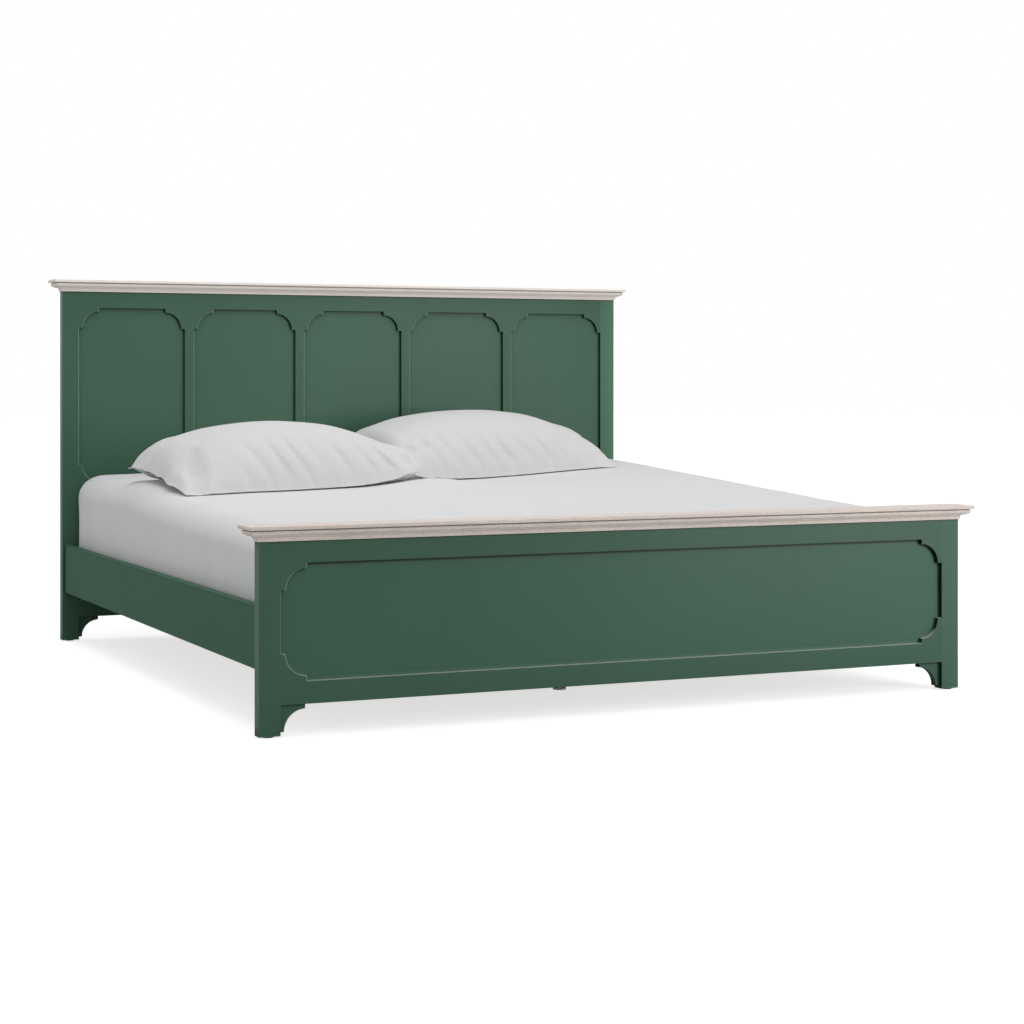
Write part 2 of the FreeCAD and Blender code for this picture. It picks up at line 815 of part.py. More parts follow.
def centreSupport():
    bore = value("studRadius + runningClearance")
    reach = value("boltHalfLength")
    level = value(beamBottom)
    bolts = [Part.makeCylinder(bore, 2 * reach, Vector(0, row, level - reach)) for row in legRows()]
    stock = block(
        "centre_beam_stock",
        ("-beamWidth / 2", footInner, beamBottom),
        ("beamWidth", "faceToFace - boardThickness", "beamHeight"),
    )
    drilled("centre_beam", stock, bolts)
    for number, row in enumerate(legRows(), 1):
        offset = f"legSpacing * {number - 1 - (legCount - 1) / 2}"
        stock = block(
            f"centre_leg_{number}_stock",
            ("-legWidth / 2", f"{offset} - legWidth / 2", "legBottom"),
            ("legWidth", "legWidth", f"{beamBottom} - legBottom"),
        )
        stud = Part.makeCylinder(bore, value("studReach + studTravel"), Vector(0, row, value("legBottom")))
        drilled(f"centre_leg_{number}", stock, [bolts[number - 1], stud])
        loose(f"levelling_foot_{number}", [levellingFoot(row)])
    radius = value("studRadius")
    loose(
        "leg_hanger_bolts",
        [Part.makeCylinder(radius, 2 * reach, Vector(0, row, level - reach)) for row in legRows()],
    )
    for word, low in (("foot", footInner), ("head", f"({headFace} - cleatThickness)")):
        body = newBody(word + "_beam_cleat", ("0", low, "0"))
        sketch = newSketch(body, word + "CleatOutline", "XZ_Plane")
        outline(
            sketch,
            [
                ("-cleatWidth / 2", "cleatBottom"),
                ("cleatWidth / 2", "cleatBottom"),
                ("cleatWidth / 2", ledgerTop),
                ("beamWidth / 2 + jointClearance", ledgerTop),
                ("beamWidth / 2 + jointClearance", beamBottom),
                ("-(beamWidth / 2 + jointClearance)", beamBottom),
                ("-(beamWidth / 2 + jointClearance)", ledgerTop),
                ("-cleatWidth / 2", ledgerTop),
            ],
        )
        raised(body, sketch, "cleatThickness", away=False)
    cleats = doc.addObject("Part::Compound", "beam_cleats")
    cleats.Links = [pieces.pop("foot_beam_cleat"), pieces.pop("head_beam_cleat")]
    pieces["beam_cleats"] = cleats


def levellingFoot(row):
    """Round pad, hexagon and stud."""
    pad = Part.makeCylinder(value("padRadius"), value("padThickness"), Vector(0, row, 0))
    radius = value("nutRadius")
    level = value("padThickness")
    corners = [
        Vector(radius * math.cos(math.radians(turn)), row + radius * math.sin(math.radians(turn)), level)
        for turn in range(0, 361, 60)
    ]
    nut = Part.Face(Part.makePolygon(corners)).extrude(Vector(0, 0, value("nutThickness")))
    length = value("legBottom + studReach - padThickness")
    stud = Part.makeCylinder(value("studRadius"), length, Vector(0, row, level))
    return pad.fuse(nut).fuse(stud).removeSplitter()


def glides():
    """A round glide with a stem under each post."""
    glide = Part.makeCylinder(value("glideRadius"), value("glideThickness"))
    glide = glide.fuse(
        Part.makeCylinder(value("glideStemRadius"), value("glideThickness + glideStemLength"))
    ).removeSplitter()
    across = value("bedWidth / 2 - postWidth / 2")
    along = value(f"{headFace} + boardThickness / 2")
    places = [Vector(sideX * across, sideY * along, 0) for sideX in (-1, 1) for sideY in (-1, 1)]
    copies = []
    for place in places:
        copy = glide.copy()
        copy.translate(place)
        copies.append(copy)
    loose("post_glides", copies)


# bedding

endTurns = (0, 30, 60, 90)  # degrees round the quarter turn at each end of the mattress


def mattressForm(grown):
    """Mattress with rounded shoulders, a crowned top that falls to the foot, and rounded ends with closer
    upright corners. grown is the growth of every face."""
    shoulder = value("mattressShoulder") + grown
    corner = value("mattressCorner") + grown
    half = value(mattressHalf) + grown
    floor = value("slatTop + 2 * beddingGap + sheetThickness") - grown
    head = value(mattressHead) + grown
    foot = head - value(mattressLength) - 2 * grown
    top = floor + value("mattressHeight") + 2 * grown
    crown = value("mattressCrown")
    stations = []
    for end, way, lift in ((foot, 1, -value("mattressFall")), (head, -1, 0.0)):
        turns = endTurns if way == 1 else endTurns[::-1]
        for turn in turns:
            angle = math.radians(turn)
            inset = 1 - math.sin(angle)
            along = end + way * shoulder * (1 - math.cos(angle))
            stations.append((along, half - corner * inset, top + lift - shoulder * inset))
    wires = []
    for along, wide, high in stations:
        low = high - shoulder
        rise = crown * (wide / half)
        diagonal = shoulder * (1 - math.sqrt(0.5))
        inner = wide - shoulder
        left = [Vector(-wide, along, floor), Vector(-wide, along, low), Vector(-inner, along, high)]
        right = [Vector(inner, along, high), Vector(wide, along, low), Vector(wide, along, floor)]
        edges = [
            Part.makeLine(left[0], left[1]),
            Part.Arc(left[1], Vector(-wide + diagonal, along, high - diagonal), left[2]).toShape(),
            Part.Arc(left[2], Vector(0, along, high + rise), right[0]).toShape(),
            Part.Arc(right[0], Vector(wide - diagonal, along, high - diagonal), right[1]).toShape(),
            Part.makeLine(right[1], right[2]),
            Part.makeLine(right[2], left[0]),
        ]
        wires.append(Part.Wire(edges))
    return Part.makeLoft(wires, True, True)


def mattressTop(across, along):
    """Height of the sheet's top this far from the middle and at this place along the bed."""
    half = value(f"{mattressHalf} - mattressShoulder")
    crown = value("mattressCrown")
    radius = (half * half + crown * crown) / (2 * crown)
    head = value(f"{mattressHead} - mattressShoulder")
    flat = value(f"{mattressLength} - 2 * mattressShoulder")
    edge = value("slatTop + 3 * beddingGap + 2 * sheetThickness + mattressHeight")
    fall = value("mattressFall") * (head - along) / flat
    return edge - fall + math.sqrt(radius * radius - across * across) - (radius - crown)


def mattressAndSheet():
    clearance = value("beddingGap")
    loose("mattress", [mattressForm(0.0)])
    outer = mattressForm(clearance + value("sheetThickness"))
    inner = mattressForm(clearance)
    turnUnder = value("sheetTurnUnder")
    wide = 2 * (value(mattressHalf) - turnUnder)
    long = value(mattressLength) - 2 * turnUnder
    head = value(mattressHead)
    depth = value("sheetThickness + overrun")
    floor = value("slatTop + beddingGap") - value("overrun") / 2
    opening = Part.makeBox(wide, long, depth, Vector(-wide / 2, head - turnUnder - long, floor))
    loose("fitted_sheet", [outer.cut(inner).cut(opening)])


# along the pillow from one end to its middle: place as a share of the half length, swelling as a share
pillowShares = ((0.0, 0.02), (0.04, 0.30), (0.14, 0.60), (0.32, 0.85), (0.62, 0.98), (1.0, 1.0))


def pillowForm(grown):
    """Pillow with a crown, flatter below, and a seamed edge that is drawn in between the corners. grown is
    the growth of every face."""
    halfLength = value("pillowLength / 2") + grown
    halfDepth = value("pillowDepth / 2") + grown
    upper = value("pillowSeamHeight + pillowTip / 2") + grown
    lower = value("pillowSeamHeight - pillowTip / 2") - grown
    above = value("pillowHeight - pillowSeamHeight - pillowTip / 2")
    below = value("pillowSeamHeight - pillowTip / 2")
    drawIn = value("pillowDrawIn")
    half = [(halfLength * (share - 1), swelling) for share, swelling in pillowShares]
    stations = half + [(-place, swelling) for place, swelling in half[-2::-1]]
    wires = []
    for place, swelling in stations:
        deep = halfDepth - drawIn * math.sqrt(swelling)
        front = [Vector(place, -deep, lower), Vector(place, -deep, upper)]
        back = [Vector(place, deep, upper), Vector(place, deep, lower)]
        edges = [
            Part.makeLine(front[0], front[1]),
            Part.Arc(front[1], Vector(place, 0, upper + above * swelling), back[0]).toShape(),
            Part.makeLine(back[0], back[1]),
            Part.Arc(back[1], Vector(place, 0, lower - below * swelling), front[0]).toShape(),
        ]
        wires.append(Part.Wire(edges))
    return Part.makeLoft(wires, True, True)


def pillow(word, side):
    """Pillow in its case, whose open hem reaches past the pillow's outer end."""
    wall = value("caseThickness")
    clearance = value("caseClearance")
    core = pillowForm(0.0)
    case = pillowForm(clearance + wall).cut(pillowForm(clearance))
    seam = value("pillowSeamHeight")
    end = side * value("pillowLength / 2")
    deep = value("pillowDepth - 2 * pillowDrawIn")
    hem = value("hemLength")
    flap = Part.makeBox(hem, deep, 2 * wall, Vector(end if side == 1 else end - hem, -deep / 2, seam - wall))
    case = case.fuse(flap.cut(pillowForm(clearance + wall / 2))).removeSplitter()
    across = side * value(f"{word}PillowAcross")
    along = value(f"{headFace} - {word}PillowAlong")
    level = mattressTop(across, along)
    apart = value("pillowDepth")
    rises = (mattressTop(across + apart / 2, along) - mattressTop(across - apart / 2, along),
             mattressTop(across, along + apart / 2) - mattressTop(across, along - apart / 2))
    normal = Vector(-rises[0], -rises[1], apart).normalize()
    lift = value("beddingGap") + clearance + wall
    lie = Rotation(Vector(0, 0, 1), normal) * Rotation(Vector(0, 0, 1), pillowTurns[word])
    place = Placement(Vector(across, along, level) + normal * lift, lie)
    loose("pillow_" + word, [core]).Placement = place
    loose("pillowcase_" + word, [case]).Placement = place


footboard()
headboard()
sideRails()
hardware()
slats()
centreSupport()
glides()
mattressAndSheet()
pillow("left", -1)
pillow("right", 1)
doc.recompute()

for thing in doc.Objects:
    if "Invalid" in thing.State or "Error" in thing.State:
        raise RuntimeError(f"{thing.Name} failed: {thing.State}")

os.makedirs("parts", exist_ok=True)
for name, piece in pieces.items():
    piece.Label = name
    if piece.Shape.isNull() or not piece.Shape.isValid() or not piece.Shape.Solids:
        raise RuntimeError(f"{name} has no valid solid")
    piece.Shape.exportStep(f"parts/{name}.step")
print(len(pieces), "nodes written")
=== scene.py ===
import math

import bpy
from mathutils import Matrix, Vector, noise


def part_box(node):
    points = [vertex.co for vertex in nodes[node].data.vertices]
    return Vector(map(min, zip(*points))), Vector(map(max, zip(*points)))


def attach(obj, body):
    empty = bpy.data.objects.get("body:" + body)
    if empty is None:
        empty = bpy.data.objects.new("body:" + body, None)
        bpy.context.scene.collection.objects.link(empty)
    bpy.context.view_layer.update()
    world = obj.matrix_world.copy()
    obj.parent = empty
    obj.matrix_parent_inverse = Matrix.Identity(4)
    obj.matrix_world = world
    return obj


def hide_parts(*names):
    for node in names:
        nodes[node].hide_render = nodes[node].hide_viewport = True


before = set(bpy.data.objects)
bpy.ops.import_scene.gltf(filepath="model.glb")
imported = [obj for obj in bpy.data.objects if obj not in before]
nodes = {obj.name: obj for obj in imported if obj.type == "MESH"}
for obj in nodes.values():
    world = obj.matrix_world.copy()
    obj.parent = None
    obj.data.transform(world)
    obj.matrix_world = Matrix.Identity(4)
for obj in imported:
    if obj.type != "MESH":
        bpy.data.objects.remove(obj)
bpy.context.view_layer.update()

scene = bpy.context.scene


# small helpers for shader trees

def connect(tree, socket, value):
    if isinstance(value, bpy.types.NodeSocket):
        tree.links.new(value, socket)
    else:
        socket.default_value = value


def addNode(tree, kind, sockets=None, **settings):
    node = tree.nodes.new(kind)
    for name, setting in settings.items():
        setattr(node, name, setting)
    for name, value in (sockets or {}).items():
        connect(tree, node.inputs[name], value)
    return node


def doMath(tree, operation, first, second=0.0, clamp=False):
    sockets = {0: first, 1: second}
    return addNode(tree, "ShaderNodeMath", sockets, operation=operation, use_clamp=clamp).outputs[0]


def times(tree, first, second, clamp=False):
    return doMath(tree, "MULTIPLY", first, second, clamp)


def doVector(tree, operation, first, second=(0.0, 0.0, 0.0), output="Vector"):
    return addNode(tree, "ShaderNodeVectorMath", {0: first, 1: second}, operation=operation).outputs[output]


def split(tree, vector):
    return addNode(tree, "ShaderNodeSeparateXYZ", {0: vector}).outputs


def join(tree, first, second, third):
    return addNode(tree, "ShaderNodeCombineXYZ", {0: first, 1: second, 2: third}).outputs[0]


def remap(tree, value, low, high, toLow=0.0, toHigh=1.0):
    sockets = {"Value": value, "From Min": low, "From Max": high, "To Min": toLow, "To Max": toHigh}
    return addNode(tree, "ShaderNodeMapRange", sockets).outputs[0]


def mixColours(tree, factor, first, second, blend="MIX"):
    sockets = {0: factor, 6: first, 7: second}
    return addNode(tree, "ShaderNodeMix", sockets, data_type="RGBA", blend_type=blend).outputs[2]


def noiseNode(tree, vector, scale, detail, roughness):
    sockets = {"Vector": vector, "Scale": scale, "Detail": detail, "Roughness": roughness}
    return addNode(tree, "ShaderNodeTexNoise", sockets).outputs["Fac"]


def openness(tree, distance, samples, **sockets):
    # 1 in the open and 0 in a closed corner
    sockets["Distance"] = distance
    return addNode(tree, "ShaderNodeAmbientOcclusion", sockets, samples=samples).outputs["AO"]


def bumpNode(tree, height, strength, distance, **sockets):
    sockets.update({"Height": height, "Strength": strength, "Distance": distance})
    return addNode(tree, "ShaderNodeBump", sockets).outputs[0]


def newGroup(name, takes, gives):
    group = bpy.data.node_groups.new(name, "ShaderNodeTree")
    for label, kind, value in takes:
        socket = group.interface.new_socket(label, in_out="INPUT", socket_type="NodeSocket" + kind)
        if value is not None:
            socket.default_value = value
    for label, kind in gives:
        group.interface.new_socket(label, in_out="OUTPUT", socket_type="NodeSocket" + kind)
    return group, group.nodes.new("NodeGroupInput").outputs, group.nodes.new("NodeGroupOutput").inputs


def useGroup(tree, group, sockets):
    node = tree.nodes.new("ShaderNodeGroup")
    node.node_tree = group
    for name, value in sockets.items():
        connect(tree, node.inputs[name], value)
    return node.outputs


def newMaterial(name, plain):
    material = bpy.data.materials.new(name)
    material.use_nodes = True
    tree = material.node_tree
    tree.nodes.clear()
    shader = addNode(tree, "ShaderNodeBsdfPrincipled", plain)
    output = tree.nodes.new("ShaderNodeOutputMaterial")
    tree.links.new(shader.outputs["BSDF"], output.inputs["Surface"])
    return material, tree, shader.inputs


def setSurface(tree, shader, look, colour, uneven, height, normal):
    # rough maps a noise to the roughness, bump is a strength and a distance
    connect(tree, shader["Base Color"], colour)
    connect(tree, shader["Roughness"], remap(tree, uneven, *look["rough"]))
    connect(tree, shader["Normal"], bumpNode(tree, height, *look["bump"], Normal=normal))


def objectPlace(tree):
    return addNode(tree, "ShaderNodeTexCoord").outputs["Object"]


def placeAlong(tree, axis):
    # object coordinates, reordered so that the first runs along the board
    parts = split(tree, objectPlace(tree))
    order = {"X": (0, 1, 2), "Y": (1, 0, 2), "Z": (2, 0, 1)}[axis]
    return join(tree, *(parts[part] for part in order))


# effects that several finishes share. Each noise has its scale, detail and roughness

edgeEffect = {
    "samples": 6,
    "turned": (0.995, 0.8),  # cosine of the turn at which an arris starts to show, and shows fully
    "leaned": (0.08, 0.4),  # likewise, how far its normal leans up or to the right
}


def makeEdgeEffect(look):
    # softened arrises: a normal for the shader and masks of the edges
    gives = [("Mask", "Float"), ("Upper", "Float"), ("Right", "Float"), ("Normal", "Vector")]
    group, takes, gives = newGroup("softEdges", [("Radius", "Float", 0.001)], gives)
    sockets = {"Radius": takes["Radius"]}
    bevel = addNode(group, "ShaderNodeBevel", sockets, samples=look["samples"]).outputs[0]
    flat = addNode(group, "ShaderNodeNewGeometry").outputs["Normal"]
    turned = doVector(group, "DOT_PRODUCT", bevel, flat, "Value")
    connect(group, gives["Mask"], remap(group, turned, *look["turned"]))
    connect(group, gives["Normal"], bevel)
    parts = split(group, bevel)
    flatParts = split(group, flat)
    for label, part in (("Upper", 2), ("Right", 0)):
        leaned = doMath(group, "SUBTRACT", parts[part], flatParts[part])
        connect(group, gives[label], remap(group, leaned, *look["leaned"]))
    return group


grainEffect = {
    "fibre": (1.0, 5.0, 0.62),
    "tone": (0.16, 2.0, 0.5),
    "specks": (1.0, 2.0, 0.4),
    "shorter": (9.0, 7.0, 7.0),  # pores against fibres
    "poreLevel": 0.72,  # a speck over this level is a pore
    "poreDrop": -0.22,  # the level falls with the share of pores
    "poreRim": 0.05,
}


def makeGrainEffect(look):
    # wood: the first coordinate runs along the grain
    takes = [("Vector", "Vector", None), ("Along", "Float", 1.5),
             ("Across", "Float", 60.0), ("Pores", "Float", 0.5)]
    gives = [("Fibre", "Float"), ("Pores", "Float"), ("Tone", "Float")]
    group, takes, gives = newGroup("woodGrain", takes, gives)
    stretch = join(group, takes["Along"], takes["Across"], takes["Across"])
    long = doVector(group, "MULTIPLY", takes["Vector"], stretch)
    connect(group, gives["Fibre"], noiseNode(group, long, *look["fibre"]))
    connect(group, gives["Tone"], noiseNode(group, long, *look["tone"]))
    short = doVector(group, "MULTIPLY", long, look["shorter"])
    specks = noiseNode(group, short, *look["specks"])
    drop = times(group, takes["Pores"], look["poreDrop"])
    level = doMath(group, "ADD", drop, look["poreLevel"])
    pores = doMath(group, "SUBTRACT", specks, level)
    connect(group, gives["Pores"], remap(group, pores, 0.0, look["poreRim"]))
    return group


paintEffect = {
    "stretch": (14.0, 420.0, 420.0),  # brush strokes, along the board and across it
    "stroke": (1.0, 3.0, 0.5),
    "skin": (520.0, 2.0, 0.5),
    "strokeShare": 0.6,
    "skinShare": 0.4,
    "tone": (3.0, 3.0, 0.5),
    "specks": (330.0, 1.0, 0.5),
}


def makePaintEffect(look):
    # brushed satin paint: faint strokes along the board, a fine skin, specks and slow changes of tone
    takes = [("Vector", "Vector", None), ("Place", "Vector", None)]
    gives = [("Height", "Float"), ("Tone", "Float"), ("Specks", "Float")]
    group, takes, gives = newGroup("brushedPaint", takes, gives)
    strokes = doVector(group, "MULTIPLY", takes["Vector"], look["stretch"])
    stroke = times(group, noiseNode(group, strokes, *look["stroke"]), look["strokeShare"])
    skin = times(group, noiseNode(group, takes["Vector"], *look["skin"]), look["skinShare"])
    connect(group, gives["Height"], doMath(group, "ADD", stroke, skin))
    connect(group, gives["Tone"], noiseNode(group, takes["Place"], *look["tone"]))
    connect(group, gives["Specks"], noiseNode(group, takes["Place"], *look["specks"]))
    return group


shadeEffect = {
    "samples": 8,
    "leans": ((0.6, 0.0, 0.9), (-0.6, 0.0, -0.9)),  # a normal leaned up and right, and down and left
    "shut": (0.78, 0.40),  # openness at which a corner starts to show, and shows fully
    "inside": (0.95, 0.80),  # likewise for a wall inside a recess
    "aside": (0.7, 0.4),  # a wall looks less than this along Y
    "upward": (0.5, 0.8),  # and a ledge more than this up
    "lightFrom": (0.75, 0.0, 0.66),
    "dark": (0.2, -0.2),  # how far a wall looks towards that light
    "lit": (0.0, 0.4),
}


def makeShadeEffect(look):
    # painted shade on recess walls that look down or left and in corners under what stands above or to the
    # right, painted highlight on rims over what stands below or to the left, on walls that look up and on
    # walls that face the light
    takes = [("Reach", "Float", 0.03), ("Narrow", "Float", 0.007)]
    gives = [(label, "Float") for label in ("Walls", "CornerShade", "LitRims", "LitLedges", "Lit")]
    group, takes, gives = newGroup("shadeLines", takes, gives)
    samples = look["samples"]
    closed = openness(group, takes["Reach"], samples)
    faces = addNode(group, "ShaderNodeNewGeometry").outputs["True Normal"]
    shut = []
    for lean in look["leans"]:
        toward = doVector(group, "NORMALIZE", doVector(group, "ADD", faces, lean))
        tight = openness(group, takes["Narrow"], samples, Normal=toward)
        shut.append(remap(group, tight, *look["shut"]))
    parts = split(group, faces)
    inside = remap(group, closed, *look["inside"])
    aside = remap(group, doMath(group, "ABSOLUTE", parts[1]), *look["aside"])
    upward = remap(group, parts[2], *look["upward"])
    light = doVector(group, "DOT_PRODUCT", faces, look["lightFrom"], "Value")
    walls = times(group, inside, aside)
    connect(group, gives["LitLedges"], times(group, walls, upward))
    connect(group, gives["Walls"], times(group, walls, remap(group, light, *look["dark"])))
    connect(group, gives["Lit"], times(group, walls, remap(group, light, *look["lit"])))
    connect(group, gives["CornerShade"], doMath(group, "SUBTRACT", shut[0], shut[1], clamp=True))
    connect(group, gives["LitRims"], doMath(group, "SUBTRACT", shut[1], shut[0], clamp=True))
    return group


weaveEffect = {
    "height": 1.5,  # the most the threads' waves add up to
    "slubs": (260.0, 3.0, 0.7),
}


def makeWeaveEffect(look):
    # crossing threads on any side of a piece, with slubs
    takes = [("Vector", "Vector", None), ("Pitch", "Float", 0.0008)]
    group, takes, gives = newGroup("plainWeave", takes, [("Height", "Float"), ("Slubs", "Float")])
    turns = doMath(group, "DIVIDE", 2 * math.pi, takes["Pitch"])
    sockets = {0: takes["Vector"], 3: turns}
    scaled = addNode(group, "ShaderNodeVectorMath", sockets, operation="SCALE").outputs[0]
    parts = split(group, scaled)
    total = 0.0
    for at in range(3):
        sine = doMath(group, "SINE", parts[at])
        cosine = doMath(group, "COSINE", parts[(at + 1) % 3])
        total = doMath(group, "ADD", total, times(group, sine, cosine))
    connect(group, gives["Height"], remap(group, total, -look["height"], look["height"]))
    connect(group, gives["Slubs"], noiseNode(group, takes["Vector"], *look["slubs"]))
    return group


softEdges = makeEdgeEffect(edgeEffect)
woodGrain = makeGrainEffect(grainEffect)
brushedPaint = makePaintEffect(paintEffect)
shadeLines = makeShadeEffect(shadeEffect)
plainWeave = makeWeaveEffect(weaveEffect)


# finishes

paint = {
    "colour": (0.043, 0.113, 0.071, 1),
    "worn": (0.17, 0.30, 0.225, 1),  # where an edge has lost some of its tint; also the painted highlight on recess walls and rims that face the light
    "rightHighlightColour": (0.40, 0.56, 0.46, 1),  # painted highlight on the arrises that look to the right, towards the light
    "upperHighlightColour": (0.56, 0.60, 0.55, 1),  # painted highlight on upward edges and ledges, lit from above
    "shade": (0.004, 0.012, 0.007, 1),
    "boards": {  # tone, roughness and specular level
        "panel": (1.0, 0.40, 0.3),
        "board": (0.92, 0.40, 0.3),
        "rail": (1.02, 0.55, 0.06),
    },
    "ior": 1.47,
    "band": (0.3, 0.7),  # the part of a noise that counts
    "mottle": 0.035,
    "specks": 0.05,
    "edge": 0.003,
    "edgeWear": 0.25,
    # how strongly the painted highlight shows on arrises that look to the right
    "rightHighlight": 0.85,
    # how strongly the painted highlight shows on upward arrises
    "upperHighlight": 0.7,
    "recess": (  # strength and colour of each mask: painted shade on walls that look away from the light, painted highlight on lit walls, ledges and rims
        ("Walls", 0.95, "shade"),
        ("Lit", 0.6, "worn"),
        ("LitLedges", 0.8, "upperHighlightColour"),
        ("LitRims", 0.3, "worn"),
    ),
    "rightSide": (0.9, 1.01),  # painted sheen: between these places along X the tone changes
    "rightSheen": 1.0,  # to this share
    "reach": 0.03,  # of the shade in a recess
    "narrow": 0.007,  # and of the painted shade lines in its corners
    # strength of the painted shade in those corners
    "corner": 0.9,
    "heightBand": (0.35, 0.65),
    "roughSpread": (-0.05, 0.06),
    "bump": (0.16, 0.0004),
}


def between(tree, value, low, high):
    # 1 where value lies between the limits
    over = doMath(tree, "GREATER_THAN", value, low)
    return times(tree, over, doMath(tree, "LESS_THAN", value, high))


def paintedWood(where, axis, kind="board", limits=(), **changes):
    # limits say where the arrises are free: (axis, low, high) in metres. Butted ends stay square
    look = {**paint, **changes}
    tone, roughness, specular = look["boards"][kind]
    plain = {"IOR": look["ior"], "Specular IOR Level": specular}
    material, tree, shader = newMaterial("greenPaint" + where, plain)
    place = objectPlace(tree)
    coat = useGroup(tree, brushedPaint, {"Vector": placeAlong(tree, axis), "Place": place})
    parts = split(tree, place)
    radius = look["edge"]
    for way, low, high in limits:
        radius = times(tree, between(tree, parts["XYZ".index(way)], low, high), radius)
    edges = useGroup(tree, softEdges, {"Radius": radius})
    shade = useGroup(tree, shadeLines, {"Reach": look["reach"], "Narrow": look["narrow"]})
    level = tone
    for label, spread in (("Tone", look["mottle"]), ("Specks", look["specks"])):
        level = times(tree, level, remap(tree, coat[label], *look["band"], 1 - spread, 1 + spread))
    # painted sheen, lighter towards the right end of a post
    level = times(tree, level, remap(tree, parts[0], *look["rightSide"], 1.0, look["rightSheen"]))
    colour = mixColours(tree, 1.0, look["colour"], join(tree, level, level, level), "MULTIPLY")
    colour = mixColours(tree, times(tree, edges["Mask"], look["edgeWear"]), colour, look["worn"])
    if kind != "rail":
        # painted highlight on arrises that look right, towards the light
        colour = mixColours(tree, times(tree, edges["Right"], look["rightHighlight"]), colour, look["rightHighlightColour"])
        # painted highlight on arrises that look up, lit from above
        colour = mixColours(tree, times(tree, edges["Upper"], look["upperHighlight"]), colour, look["upperHighlightColour"])
        for label, strength, tint in look["recess"]:
            colour = mixColours(tree, times(tree, shade[label], strength), colour, look[tint])
    # painted shade in corners under what stands above or to the right
    corners = times(tree, shade["CornerShade"], look["corner"], clamp=True)
    colour = mixColours(tree, corners, colour, look["shade"])
    look["rough"] = (*look["heightBand"], *(roughness + spread for spread in look["roughSpread"]))
    setSurface(tree, shader, look, colour, coat["Height"], coat["Height"], edges["Normal"])
    return material


wash = {
    "pale": (0.84, 0.755, 0.70, 1),
    "streak": (0.56, 0.48, 0.43, 1),
    "pore": (0.25, 0.205, 0.175, 1),
    "creviceShade": (0.20, 0.16, 0.14, 1),
    "lighter": (0.95, 0.88, 0.83, 1),
    "worn": (0.88, 0.82, 0.77, 1),
    "plain": {"IOR": 1.45, "Specular IOR Level": 0.25},
    "grain": {"Along": 14.0, "Across": 420.0, "Pores": 0.8},
    "streaks": (0.42, 0.66, 0.0, 0.55),
    "tone": (0.4, 0.7, 0.0, 0.25),
    "pores": 0.5,
    "edge": 0.0014,
    "edgeWear": 0.7,
    "bleach": {"foot": 0.0, "head": 0.65},  # share of the lighter coat
    # painted shade in the moulding's crevices and hollows, where little is open around
    "creviceShadeReach": 0.012,
    "creviceShadeSamples": 6,
    "creviceShadeBand": (0.70, 0.25),
    "creviceShadeStrength": {"foot": 0.85, "head": 0.6},
    "rough": (0.3, 0.7, 0.58, 0.75),
    "poreDepth": 0.6,
    "bump": (0.35, 0.0005),
}


def washedWood(board, axis):
    material, tree, shader = newMaterial("washedWood" + board.title() + axis, wash["plain"])
    grain = useGroup(tree, woodGrain, {"Vector": placeAlong(tree, axis), **wash["grain"]})
    edges = useGroup(tree, softEdges, {"Radius": wash["edge"]})
    colour = mixColours(tree, remap(tree, grain["Fibre"], *wash["streaks"]), wash["pale"], wash["streak"])
    colour = mixColours(tree, remap(tree, grain["Tone"], *wash["tone"]), colour, wash["streak"])
    colour = mixColours(tree, times(tree, grain["Pores"], wash["pores"]), colour, wash["pore"])
    colour = mixColours(tree, times(tree, edges["Mask"], wash["edgeWear"]), colour, wash["worn"])
    colour = mixColours(tree, wash["bleach"][board], colour, wash["lighter"])
    # painted shade: darker in crevices and hollows
    shade = openness(tree, wash["creviceShadeReach"], wash["creviceShadeSamples"])
    creviceShade = remap(tree, shade, *wash["creviceShadeBand"], 0.0, wash["creviceShadeStrength"][board])
    colour = mixColours(tree, creviceShade, colour, wash["creviceShade"])
    relief = doMath(tree, "SUBTRACT", grain["Fibre"], times(tree, grain["Pores"], wash["poreDepth"]))
    setSurface(tree, shader, wash, colour, grain["Fibre"], relief, edges["Normal"])
    return material


pine = {
    "pale": (0.66, 0.47, 0.27, 1),
    "late": (0.46, 0.27, 0.12, 1),  # the darker wood of each ring
    "plain": {"IOR": 1.45, "Specular IOR Level": 0.3},
    "grain": {"Along": 1.1, "Across": 95.0, "Pores": 0.2},
    "rings": (0.48, 0.62, 0.0, 0.6),
    "tone": (0.35, 0.7, 0.0, 0.3),
    "edge": 0.0015,
    "rough": (0.3, 0.7, 0.55, 0.7),
    "bump": (0.2, 0.0006),
}


def bareWood(axis):
    material, tree, shader = newMaterial("bareWood" + axis, pine["plain"])
    grain = useGroup(tree, woodGrain, {"Vector": placeAlong(tree, axis), **pine["grain"]})
    edges = useGroup(tree, softEdges, {"Radius": pine["edge"]})
    colour = mixColours(tree, remap(tree, grain["Fibre"], *pine["rings"]), pine["pale"], pine["late"])
    colour = mixColours(tree, remap(tree, grain["Tone"], *pine["tone"]), colour, pine["late"])
    setSurface(tree, shader, pine, colour, grain["Fibre"], grain["Fibre"], edges["Normal"])
    return material


zinc = {
    "bright": (0.56, 0.57, 0.58, 1),
    "dull": (0.42, 0.43, 0.43, 1),
    "spangle": 320.0,  # crystals of the plating, and how much they show
    "spangleShare": 0.12,
    "cloud": (60.0, 4.0, 0.6),
    "dulled": (0.4, 0.7, 0.0, 0.35),
    "edge": 0.0004,
    "rough": (0.3, 0.7, 0.28, 0.46),
    "bump": (0.1, 0.0003),
}


